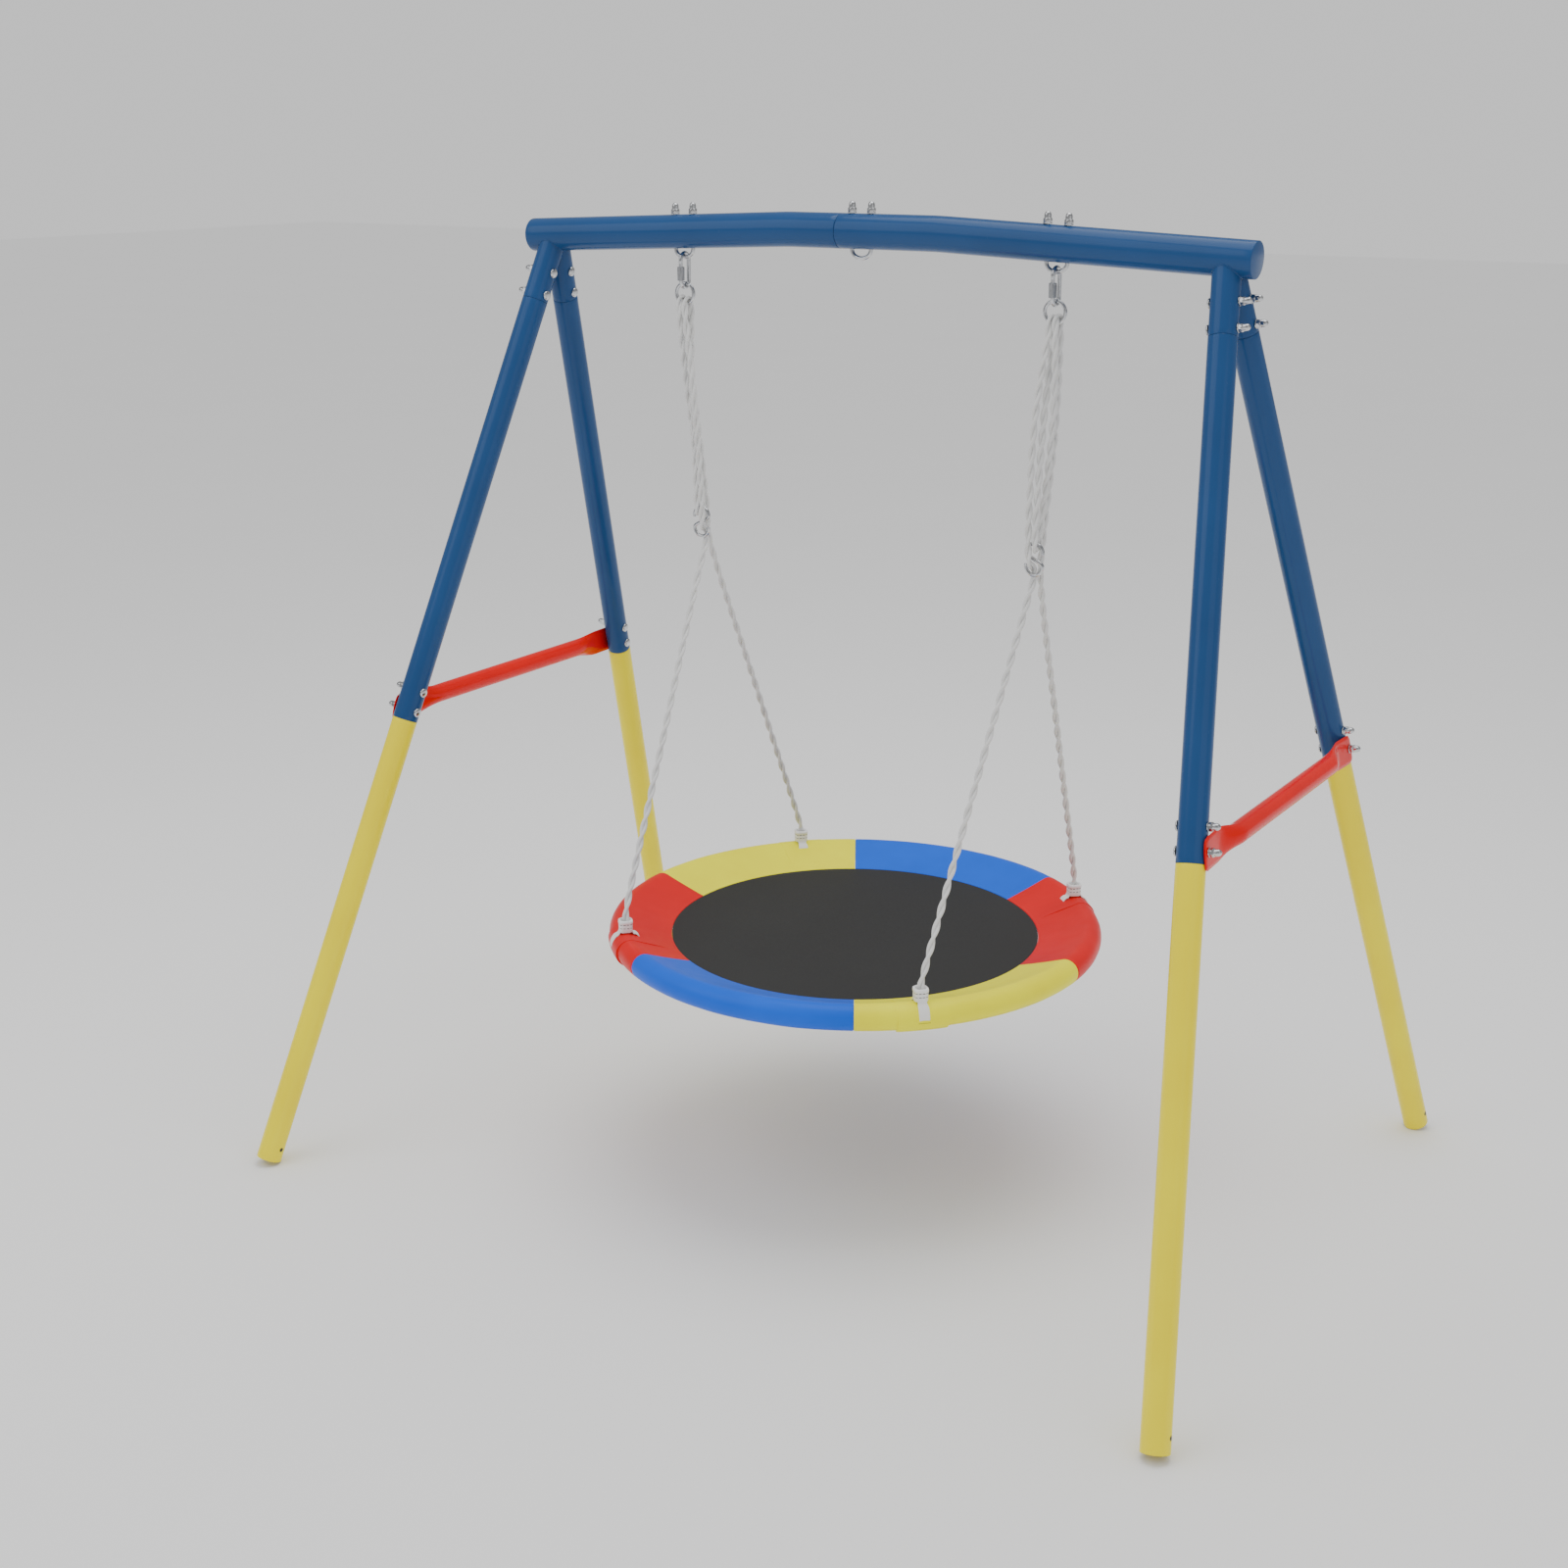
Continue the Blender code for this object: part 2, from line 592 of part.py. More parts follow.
def s_hook(side, axis_empty):
    """An S of round wire: the upper loop opens outwards and the lower one inwards."""
    across = ALONG * side
    upper = Vector((side * HOOK_X, HOOK_Y, HOOK_UPPER_Z))
    lower = Vector((side * HOOK_X, HOOK_Y, HOOK_LOWER_Z))
    lip = math.degrees(HOOK_LIP)
    over = arc_stations(upper, HOOK_LOOP, -lip, 180, 9, across, UP, HOOK_WIRE)
    stem = []
    drop = HOOK_UPPER_Z - HOOK_LOWER_Z
    for index in range(1, 6):
        part = index / 6
        sway = -math.cos(math.pi * part) * HOOK_LOOP
        heading = across * math.pi * math.sin(math.pi * part) * HOOK_LOOP - UP * drop
        stem.append((upper + across * sway - UP * drop * part, heading, HOOK_WIRE, False))
    under = arc_stations(lower, HOOK_LOOP, 0, -180 - lip, 9, across, UP, HOOK_WIRE)
    name = "s_hook_" + side_name(side)
    mesh = loft(name, over + stem + under, 8, ACROSS)
    add_piece(name, mesh, "zinc_steel", upper, axis_empty)


# ---------------------------------------------------------------- the ropes
# One rope on each side: from the front collar up through the hook's lower loop, over the ring, down
# round the hook's upper loop, up and over the ring again, and down behind the hook to the rear
# collar. Each point is (from, x, y, z): x grows away from the swing's middle, and x and y are
# offsets from the named fitting's centre line, except that z is always the height.
ROPE_ROUTE = (
    ("front_collar", 0.0, 0.0, 0.5420),
    ("front_collar", 0.0, 0.001, 0.5520),
    ("front_collar", 0.0015, 0.0085, 0.5720),
    ("front_collar", 0.0155, 0.1610, 0.8770),
    ("hook", -0.0060, -0.0150, 1.2050),
    ("hook", -0.0050, 0.0045, 1.2400),
    ("hook", -0.0046, 0.0098, 1.2530),
    ("hook", -0.0046, 0.0106, 1.2620),
    ("hook", -0.0048, 0.0080, 1.2705),
    ("hook", -0.0050, 0.0015, 1.2755),
    ("hook", -0.0056, -0.0055, 1.2795),
    ("hook", -0.0066, -0.0100, 1.2880),
    ("hook", -0.0076, -0.0108, 1.3000),
    ("hook", -0.0085, -0.0115, 1.3250),
    ("ring", -0.0265, -0.0140, 1.5500),
    ("ring", -0.0066, -0.0112, 1.7080),
    ("ring", -0.0065, -0.0106, 1.7215),
    ("ring", -0.0064, -0.0068, 1.7298),
    ("ring", -0.0064, 0.0, 1.7327),
    ("ring", -0.0064, 0.0068, 1.7298),
    ("ring", -0.0065, 0.0106, 1.7215),
    ("ring", -0.0066, 0.0112, 1.7080),
    ("ring", -0.0145, -0.0010, 1.5500),
    ("hook", 0.0046, -0.0106, 1.3330),
    ("hook", 0.0046, -0.0106, 1.3185),
    ("hook", 0.0044, -0.0072, 1.3095),
    ("hook", 0.0042, 0.0, 1.3068),
    ("hook", 0.0044, 0.0072, 1.3095),
    ("hook", 0.0046, 0.0106, 1.3185),
    ("hook", 0.0046, 0.0106, 1.3330),
    ("ring", 0.0015, 0.0060, 1.5500),
    ("ring", 0.0066, -0.0112, 1.7080),
    ("ring", 0.0065, -0.0106, 1.7215),
    ("ring", 0.0064, -0.0068, 1.7298),
    ("ring", 0.0064, 0.0, 1.7327),
    ("ring", 0.0064, 0.0068, 1.7298),
    ("ring", 0.0065, 0.0106, 1.7215),
    ("ring", 0.0066, 0.0112, 1.7080),
    ("ring", -0.0015, 0.0240, 1.5500),
    ("hook", 0.0050, 0.0245, 1.3300),
    ("hook", 0.0025, 0.0240, 1.2900),
    ("hook", 0.0010, 0.0250, 1.2600),
    ("rear_collar", 0.0180, -0.1396, 0.8770),
    ("rear_collar", 0.0015, -0.0075, 0.5720),
    ("rear_collar", 0.0, -0.001, 0.5520),
    ("rear_collar", 0.0, 0.0, 0.5420),
)


def collar_place(side, front):
    reach = HANGER_RADIUS * math.cos(HANGER_ANGLE)
    return Vector((side * reach, front * reach, 0))


def rope_route(side):
    collar = collar_place(1, 1)
    homes = {
        "front_collar": (collar.x, -collar.y),
        "rear_collar": (collar.x, collar.y),
        "hook": (HOOK_X, HOOK_Y),
        "ring": (HANG_X, 0.0),
    }
    route = []
    for home, x, y, z in ROPE_ROUTE:
        route.append(Vector((side * (homes[home][0] + x), homes[home][1] + y, z)))
    return route


def smooth_points(route, longest):
    """Points on a centripetal Catmull-Rom curve through every point of the route."""
    ends = [route[0] * 2 - route[1]] + route + [route[-1] * 2 - route[-2]]
    points = []
    for index in range(1, len(ends) - 2):
        before, start, end, after = ends[index - 1:index + 3]
        knots = [0.0]
        for low, high in ((before, start), (start, end), (end, after)):
            knots.append(knots[-1] + math.sqrt((high - low).length))
        samples = math.ceil((end - start).length / longest)
        for step in range(samples):
            t = knots[1] + (knots[2] - knots[1]) * step / samples
            first = before.lerp(start, (t - knots[0]) / (knots[1] - knots[0]))
            second = start.lerp(end, (t - knots[1]) / (knots[2] - knots[1]))
            third = end.lerp(after, (t - knots[2]) / (knots[3] - knots[2]))
            early = first.lerp(second, (t - knots[0]) / (knots[2] - knots[0]))
            late = second.lerp(third, (t - knots[1]) / (knots[3] - knots[1]))
            points.append(early.lerp(late, (t - knots[1]) / (knots[2] - knots[1])))
    points.append(route[-1])
    return points


def rope(side, axis_empty):
    name = "rope_" + side_name(side)
    points = smooth_points(rope_route(side), ROPE_STEP)
    curve = bpy.data.curves.new(name, "CURVE")
    curve.dimensions = "3D"
    curve.bevel_depth = ROPE_RADIUS
    curve.bevel_resolution = 2
    curve.use_fill_caps = True
    spline = curve.splines.new("POLY")
    spline.points.add(len(points) - 1)
    for knot, point in zip(spline.points, points):
        knot.co = (*(point - axis_empty.location), 1.0)
    piece = bpy.data.objects.new(name, curve)
    piece.parent = axis_empty
    curve.materials.append(bpy.data.materials["rope_white"])
    bpy.context.collection.objects.link(piece)


# ---------------------------------------------------------------- the seat
def around(angle):
    """Outward and onward directions at an angle round the seat."""
    return (Vector((math.cos(angle), math.sin(angle), 0)),
            Vector((-math.sin(angle), math.cos(angle), 0)))


def tube_centre(angle):
    """A point on the hoop's centre line, which runs in short straight facets."""
    step = math.floor(angle / SEAT_STEP)
    low, _ = around(step * SEAT_STEP)
    high, _ = around((step + 1) * SEAT_STEP)
    return low.lerp(high, angle / SEAT_STEP - step) * SEAT_RADIUS + UP * SEAT_Z


def turned_stations(steps):
    """Cross-sections round the hoop, from (angle, radius)."""
    return [(tube_centre(angle), around(angle)[1], radius, False) for angle, radius in steps]


def half_turn(half):
    """The seat's facet angles over one half, trimmed by half a gap at each end."""
    trim = GAP / 2 / SEAT_RADIUS
    angles = [math.pi * half + SEAT_STEP * step for step in range(19)]
    return [angles[0] + trim] + angles[1:-1] + [angles[-1] - trim]


def seat_hoop(half, axis_empty):
    """Half of the steel hoop. The first half's necked ends plug into the second half."""
    angles = half_turn(half)
    outside = [(angle, HOOP_RADIUS) for angle in angles]
    inside = [(angle, HOOP_BORE) for angle in reversed(angles)]
    if half == 0:
        early = angles[0] - HOOP_SPIGOT_TURN
        late = angles[-1] + HOOP_SPIGOT_TURN
        outside = [(early, HOOP_SPIGOT), (angles[0], HOOP_SPIGOT)] + outside
        outside += [(angles[-1], HOOP_SPIGOT), (late, HOOP_SPIGOT)]
        inside = [(late, HOOP_SPIGOT_BORE)] + [(a, HOOP_SPIGOT_BORE) for a, _ in inside]
        inside += [(early, HOOP_SPIGOT_BORE)]
    name = f"seat_hoop_{half + 1}"
    mesh = loft(name, turned_stations(outside + inside), TUBE_TURN_SIDES, UP, looped=True)
    add_piece(name, mesh, "hoop_steel", (0, 0, SEAT_Z), axis_empty)


def foam_sleeve(half, axis_empty):
    angles = half_turn(half)
    outside = [(angle, FOAM_RADIUS) for angle in angles]
    inside = [(angle, FOAM_BORE) for angle in reversed(angles)]
    name = f"foam_sleeve_{half + 1}"
    mesh = loft(name, turned_stations(outside + inside), TUBE_TURN_SIDES, UP, looped=True)
    add_piece(name, mesh, "foam_grey", (0, 0, SEAT_Z), axis_empty)


def band_tangent():
    """Where the cover leaves the padded tube for the mat, in degrees round the tube."""
    run = SEAT_RADIUS - MAT_RADIUS
    rise = SEAT_Z - MAT_TOP_Z
    slope = math.atan2(rise, run) + math.asin(COVER_OUTSIDE / math.hypot(run, rise))
    return 90 + math.degrees(slope)


def cover_profile():
    """(radius from the seat's middle, height) round the cover's cloth: a C with a sloping flange."""
    leave = band_tangent()
    sweep = (COVER_LIP_ANGLE - 360) - leave
    count = 10
    outer = []
    inner = []
    for index in range(count + 1):
        angle = math.radians(leave + sweep * index / count)
        direction = (math.cos(angle), math.sin(angle))
        outer.append((SEAT_RADIUS + COVER_OUTSIDE * direction[0],
                      SEAT_Z + COVER_OUTSIDE * direction[1]))
        inner.append((SEAT_RADIUS + COVER_INSIDE * direction[0],
                      SEAT_Z + COVER_INSIDE * direction[1]))
    slope = math.radians(leave - 90)
    down = (math.sin(slope) * BAND_THICKNESS, -math.cos(slope) * BAND_THICKNESS)
    edge = (MAT_RADIUS + 2 * GAP, MAT_TOP_Z)
    root = (outer[0][0] + down[0] - BAND_ROOT * math.cos(slope),
            outer[0][1] + down[1] - BAND_ROOT * math.sin(slope))
    band_low = (edge[0] + down[0], edge[1] + down[1])
    return [edge] + outer + list(reversed(inner)) + [root, (edge[0], band_low[1])]


def cover(index, axis_empty):
    """One sixth of the seat's cloth cover, in its own colour."""
    colour = ("cover_red", "cover_blue", "cover_yellow")[index % 3]
    trim = GAP / 2 / SEAT_RADIUS
    first = index * math.pi / 3
    angles = [first + SEAT_STEP * step for step in range(7)]
    angles[0] += trim
    angles[-1] -= trim
    profile = cover_profile()
    rings = []
    for angle in angles:
        outward, _ = around(angle)
        rings.append([outward * radius + UP * height for radius, height in profile])
    name = f"cover_{index + 1}_" + colour.removeprefix("cover_")
    mesh = mesh_from_rings(name, rings)
    bisector, _ = around(first + math.pi / 6)
    add_piece(name, mesh, colour, bisector * SEAT_RADIUS + UP * SEAT_Z, axis_empty)


def mat(axis_empty):
    """The round cloth mat that fills the seat."""
    rings = []
    for height in (MAT_TOP_Z - MAT_THICKNESS, MAT_TOP_Z):
        ring = []
        for step in range(36):
            outward, _ = around(SEAT_STEP * step)
            ring.append(outward * MAT_RADIUS + UP * height)
        rings.append(ring)
    add_piece("seat_mat", mesh_from_rings("seat_mat", rings), "mat_black",
              (0, 0, MAT_TOP_Z), axis_empty)


def hanger_spot(side, front):
    """The fitting's own directions: outward from the seat's middle, and onward round the tube."""
    corner = Vector((side, front, 0)).normalized()
    return corner, UP.cross(corner)


def strap(side, front, axis_empty):
    """The webbing saddle over the padded tube, from its outer side to the sloping band."""
    outward, onward = hanger_spot(side, front)
    near = COVER_OUTSIDE + 2 * GAP
    far = near + STRAP_THICKNESS
    count = 9
    leave = band_tangent()
    inner = []
    outer = []
    for index in range(count + 1):
        angle = math.radians(STRAP_FIRST_ANGLE + (leave - STRAP_FIRST_ANGLE) * index / count)
        direction = (math.cos(angle), math.sin(angle))
        inner.append((near * direction[0], near * direction[1]))
        outer.append((far * direction[0], far * direction[1]))
    slope = math.radians(leave - 90)
    fall = (-math.cos(slope) * STRAP_ON_BAND, -math.sin(slope) * STRAP_ON_BAND)
    inner.append((inner[-1][0] + fall[0], inner[-1][1] + fall[1]))
    outer.append((outer[-1][0] + fall[0], outer[-1][1] + fall[1]))
    outline = inner + list(reversed(outer))
    rings = []
    for reach in (-STRAP_HALF_WIDTH, STRAP_HALF_WIDTH):
        ring = []
        for run, rise in outline:
            ring.append(outward * (HANGER_RADIUS + run) + onward * reach + UP * (SEAT_Z + rise))
        rings.append(ring)
    name = f"hanger_strap_{end_name(front)}_{side_name(side)}"
    mesh = mesh_from_rings(name, rings)
    add_piece(name, mesh, "webbing_white", outward * HANGER_RADIUS + UP * SEAT_Z, axis_empty)


def collar(side, front, axis_empty):
    """The ribbed plastic collar at a rope's end: a cup whose mouth the rope comes down into."""
    outward, _ = hanger_spot(side, front)
    base = outward * HANGER_RADIUS
    groove_rise, groove_share = COLLAR_GROOVE
    profile = [
        (COLLAR_LOW_Z, COLLAR_RADIUS * COLLAR_FOOT),
        (COLLAR_LOW_Z + COLLAR_RIB, COLLAR_RADIUS),
        (COLLAR_LOW_Z + groove_rise, COLLAR_RADIUS * groove_share),
        (COLLAR_LOW_Z + COLLAR_SHOULDER, COLLAR_RADIUS),
        (COLLAR_TOP_Z - COLLAR_CHAMFER, COLLAR_RADIUS),
        (COLLAR_TOP_Z, COLLAR_RADIUS - COLLAR_CHAMFER),
        (COLLAR_TOP_Z, COLLAR_MOUTH),
        (COLLAR_FLOOR_Z, COLLAR_MOUTH),
    ]
    name = f"rope_collar_{end_name(front)}_{side_name(side)}"
    mesh = loft(name, straight_stations(base, UP, profile), EYE_SIDES, outward)
    add_piece(name, mesh, "collar_white", base + UP * COLLAR_FLOOR_Z, axis_empty)


# ---------------------------------------------------------------- the whole swing
def build():
    clear_scene()
    for name in MATERIALS:
        make_material(name)

    for side in (-1, 1):
        crossbeam(side)
        cross_brace(side)
        for front in (-1, 1):
            upper_leg(side, front)
            lower_leg(side, front)
            for number in range(len(BOLT_STATIONS)):
                leg_bolt(side, front, number)
    for name, x in (("eye_bolt_left", -HANG_X), ("eye_bolt_spare", 0.0), ("eye_bolt_right", HANG_X)):
        eye_bolt(name, x)

    for side in (-1, 1):
        eye_low = beam_centre(HANG_X).z - EYE_DROP
        link_axis = add_axis(f"link_axis_{side_name(side)}", (side * HANG_X, 0, eye_low))
        quick_link(side, link_axis)
        link_sleeve(side, link_axis)
        link_low = LINK_LOW_Z - LINK_HALF_WIDTH
        hanger_axis = add_axis(f"hanger_axis_{side_name(side)}", (side * HANG_X, 0, link_low))
        hanging_ring(side, hanger_axis)
        s_hook(side, hanger_axis)
        rope(side, hanger_axis)

    seat_axis = add_axis("seat_axis", (-collar_place(1, 1).x, 0, ROPE_END_Z))
    for half in (0, 1):
        seat_hoop(half, seat_axis)
        foam_sleeve(half, seat_axis)
    for index in range(6):
        cover(index, seat_axis)
    mat(seat_axis)
    for side in (-1, 1):
        for front in (-1, 1):
            strap(side, front, seat_axis)
            collar(side, front, seat_axis)


build()
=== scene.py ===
"""The looks of the saucer swing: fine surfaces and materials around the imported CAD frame."""

import math

import bmesh
import bpy
import numpy as np
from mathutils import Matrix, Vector, noise


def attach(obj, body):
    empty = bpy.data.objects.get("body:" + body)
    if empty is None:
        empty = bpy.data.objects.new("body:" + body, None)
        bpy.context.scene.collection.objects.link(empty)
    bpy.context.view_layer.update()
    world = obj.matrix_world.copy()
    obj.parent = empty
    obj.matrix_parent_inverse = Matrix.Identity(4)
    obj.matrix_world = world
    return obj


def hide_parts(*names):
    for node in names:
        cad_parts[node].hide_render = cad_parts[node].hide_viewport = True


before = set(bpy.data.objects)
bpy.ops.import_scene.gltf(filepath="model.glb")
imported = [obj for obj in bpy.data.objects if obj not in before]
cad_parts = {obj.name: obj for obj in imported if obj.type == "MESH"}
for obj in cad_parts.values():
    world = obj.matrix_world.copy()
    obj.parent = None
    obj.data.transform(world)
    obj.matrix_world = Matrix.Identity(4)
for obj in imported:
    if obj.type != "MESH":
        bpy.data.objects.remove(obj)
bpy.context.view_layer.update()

UP = Vector((0, 0, 1))
ALONG = Vector((1, 0, 0))
ACROSS = Vector((0, 1, 0))

# ---- sizes, as the CAD frame has them
BEAM_RADIUS = 0.0325
BEAM_HALF = 0.770
BEAM_LEVEL_HALF = 0.159
BEAM_TOP_Z = 1.870
BEAM_DROOP = math.radians(2.5)
BEAM_SEAM_X = -0.0425

LEG_RADIUS = 0.0255
LEG_WALL = 0.0016
LEG_EDGE = 0.0009  # rounding of the tubes' cut edges
LEG_HIP = Vector((0.7172, 0.0, 1.8456))
LEG_FOOT = Vector((0.983, -0.715, 0.0099))
LEG_LENGTH = (LEG_FOOT - LEG_HIP).length
STUB_END = 0.139
WELD_RIPPLES = 44
UPPER_LEG_END = 1.0325
BOLT_STATIONS = (0.078, 0.1245, 0.9695, 1.012)
ANCHOR_HOLE_UP = 0.0275
ANCHOR_HOLE_RADIUS = 0.0043
SEAT_GAP = 0.0003  # between a washer and the tube below it
BRACE_PLATE = 0.0046  # how far a brace end lifts the lowest nut
BOLT_HEAD_RADIUS = 0.0097
BOLT_HEAD_CROWN = 0.0042

BRACE_RADIUS = 0.019
BRACE_X = 0.883
BRACE_Z = 0.9125
BRACE_HALF_HEIGHT = 0.0285
BRACE_TIP_NARROWER = 0.003
BRACE_HALF_THICK = 0.002
BRACE_OVERHANG = 0.0135
BRACE_END_SLANT = 0.45  # how far the cut end leans with the leg
BRACE_END_ROUND = 0.004
BRACE_WRAP = 0.075  # how gently the flattened ends curl round the legs
BRACE_FLAT_INSIDE = 0.050
BRACE_ROUND_INSIDE = 0.130

HANG_X = 0.400
EYE_HALF_SPAN = 0.0205
EYE_WIRE = 0.004
EYE_DROP = 0.049  # from the beam's centre line to the lowest point of the bow's wire
EYE_BEND_DROP = 0.033
EYE_SEAT_GAP = 0.0008

LINK_WIRE = 0.004
LINK_TIP = 0.0032
LINK_HALF_WIDTH = 0.0135
LINK_TOP_Z = 1.8050
LINK_LOW_Z = 1.7661
LINK_GAP_LOW_Z = 1.769
LINK_GAP_TOP_Z = 1.778
SLEEVE_LOW_Z = 1.7665
SLEEVE_TOP_Z = 1.7925
SLEEVE_CORNER = 0.0078
SLEEVE_BORE = 0.0046
THREAD_DEPTH = 0.0002
THREAD_PITCH = 0.0010

RING_RADIUS = 0.020
RING_WIRE = 0.0035
RING_Z = 1.7404
RING_WELD = (20, 21, 22)  # the cross-sections, of 96, that the weld thickens

HOOK_X = 0.372
HOOK_Y = 0.008
HOOK_WIRE = 0.0035
HOOK_LOOP = 0.017
HOOK_UPPER_Z = 1.3013
HOOK_LOWER_Z = 1.2763
HOOK_LIP = 8  # degrees that the open ends go past level

SEAT_RADIUS = 0.4743
SEAT_Z = 0.4923
COVER_RADIUS = 0.0257
MAT_RADIUS = 0.373
MAT_TOP_Z = 0.484
MAT_THICK = 0.0016
MAT_SAG = 0.0012
SECTION = math.pi / 3  # one colour of the cover, round the seat
FLAP_HALF_WIDTH = 0.0465
STRAP_HALF_WIDTH = 0.0105
STRAP_HALF_THICK = 0.0009
HANGER_RADIUS = SEAT_RADIUS * math.cos(math.radians(5))
COLLAR_LOW_Z = 0.5200
COLLAR_FLOOR_Z = 0.5375
COLLAR_TOP_Z = 0.5460
COLLAR_HALF = 0.0142

ROPE_STRAND = 0.0034
ROPE_TURN = 0.074  # one full twist of the two strands
CLOTHS = ("cover_red", "cover_blue", "cover_yellow")


# ---- camera, lights and floor
def add_camera():
    camera = bpy.data.objects.new("camera", bpy.data.cameras.new("camera"))
    camera.data.lens = 50
    camera.data.sensor_width = 36
    camera.location = (2.088, -3.617, 2.078)
    yaw = math.radians(31.98)
    pitch = math.radians(-17.09)
    look = Vector((-math.sin(yaw) * math.cos(pitch), math.cos(yaw) * math.cos(pitch),
                   math.sin(pitch)))
    camera.rotation_euler = look.to_track_quat("-Z", "Y").to_euler()
    bpy.context.collection.objects.link(camera)
    bpy.context.scene.camera = camera


def add_area_light(name, place, aim, size, power):
    light = bpy.data.lights.new(name, "AREA")
    light.shape = "DISK"
    light.size = size
    light.energy = power
    lamp = bpy.data.objects.new(name, light)
    lamp.location = place
    lamp.rotation_euler = (Vector(aim) - Vector(place)).to_track_quat("-Z", "Y").to_euler()
    bpy.context.collection.objects.link(lamp)


def add_studio():
    world = bpy.data.worlds.new("studio")
    world.use_nodes = True
    background = world.node_tree.nodes["Background"]
    background.inputs["Color"].default_value = (1.0, 1.0, 1.0, 1.0)
    ray = world.node_tree.nodes.new("ShaderNodeLightPath")
    strength = world.node_tree.nodes.new("ShaderNodeMapRange")
    strength.inputs["To Min"].default_value = 0.80
    strength.inputs["To Max"].default_value = 0.32  # gloss sees a dimmer room, so it keeps contrast
    world.node_tree.links.new(ray.outputs["Is Glossy Ray"], strength.inputs["Value"])
    world.node_tree.links.new(strength.outputs["Result"], background.inputs["Strength"])
    bpy.context.scene.world = world
    add_area_light("key", (-2.6, -3.4, 4.6), (0, 0, 0.8), 4.5, 60)
    add_area_light("top", (0.2, 0.4, 4.8), (0, 0, 0.4), 4.0, 85)
    add_area_light("fill", (4.4, -1.8, 2.4), (0, 0, 1.0), 3.5, 12)

    floor = bpy.data.meshes.new("floor")
    reach = 30.0
    floor.from_pydata([(-reach, -reach, 0), (reach, -reach, 0), (reach, reach, 0),
                       (-reach, reach, 0)], [], [(0, 1, 2, 3)])
    plane = bpy.data.objects.new("floor", floor)
    plane.location.z = -0.0004
    bpy.context.collection.objects.link(plane)
    plane.data.materials.append(floor_material())


# ---- materials
class Shader:
    """A small wrapper that adds nodes to one material and links them."""

    def __init__(self, name):
        self.material = bpy.data.materials.new(name)
        self.material.use_nodes = True
        self.tree = self.material.node_tree
        self.surface = self.tree.nodes["Principled BSDF"]

    def add(self, kind, settings=None, **inputs):
        made = self.tree.nodes.new(kind)
        for key, value in (settings or {}).items():
            setattr(made, key, value)
        for key, value in inputs.items():
            self.put(made, key, value)
        return made

    def put(self, made, key, value):
        name = key.replace("_", " ")
        socket = made.inputs[int(key[1:])] if key[1:].isdigit() else made.inputs[name]
        if isinstance(value, bpy.types.NodeSocket):
            self.tree.links.new(value, socket)
        else:
            socket.default_value = value

    def finished(self, **inputs):
        for key, value in inputs.items():
            self.put(self.surface, key, value)
        return self.material

    def maths(self, operation, first, second=0.0):
        return self.add("ShaderNodeMath", {"operation": operation}, i0=first, i1=second).outputs[0]

    def place(self, kind="Object"):
        return self.add("ShaderNodeTexCoord").outputs[kind]

    def wave(self, value, turn):
        return self.maths("SINE", self.maths("MULTIPLY", value, turn))

    def noise(self, place, scale, detail=2.0, roughness=0.5):
        return self.add("ShaderNodeTexNoise", None, Vector=place, Scale=scale, Detail=detail,
                        Roughness=roughness).outputs["Fac"]

    def ramp(self, value, low, high):
        """Maps a value from the span low to high onto 0 to 1."""
        made = self.add("ShaderNodeMapRange", None, Value=value, From_Min=low, From_Max=high)
        return made.outputs["Result"]

    def mix(self, share, first, second):
        made = self.add("ShaderNodeMix", {"data_type": "RGBA"}, i0=share, i6=first, i7=second)
        return made.outputs[2]

    def span(self, value, low, high):
        """Maps 0 to 1 onto the span low to high."""
        made = self.add("ShaderNodeMapRange", None, Value=value, To_Min=low, To_Max=high)
        return made.outputs["Result"]

    def bump(self, height, distance, strength, **below):
        made = self.add("ShaderNodeBump", None, Height=height, Distance=distance,
                        Strength=strength, **below)
        return made.outputs["Normal"]


def shade(colour, factor):
    return tuple(min(1.0, channel * factor) for channel in colour) + (1.0,)


def floor_material():
    look = Shader("floor")
    place = look.place()
    tone = look.mix(look.noise(place, 1.2, 3.0), (0.94, 0.94, 0.94, 1), (0.965, 0.965, 0.965, 1))
    return look.finished(Base_Color=tone, Roughness=0.85, Specular_IOR_Level=0.1)


def powder_coat(name, colour):
    """Glossy powder coat: soft orange peel, slight unevenness and a few fine rub marks."""
    look = Shader(name)
    place = look.place()
    patches = look.ramp(look.noise(place, 5.0, 3.0), 0.3, 0.7)
    base = look.mix(patches, shade(colour, 0.93), shade(colour, 1.05))
    stretched = look.add("ShaderNodeMapping", None, Vector=place, Scale=(60, 60, 7)).outputs[0]
    rubs = look.ramp(look.noise(stretched, 6.0, 4.0, 0.65), 0.68, 0.78)
    worn = look.mix(look.maths("MULTIPLY", rubs, 0.05), base, shade((0.8, 0.8, 0.8), 1.0))
    gloss = look.span(look.noise(place, 22.0, 2.0), 0.14, 0.20)
    scuffed = look.maths("ADD", gloss, look.maths("MULTIPLY", rubs, 0.10))
    peel = look.noise(place, 420.0, 2.0)
    return look.finished(Base_Color=worn, Roughness=scuffed, Specular_IOR_Level=0.22,
                         Normal=look.bump(peel, 0.00004, 0.20))


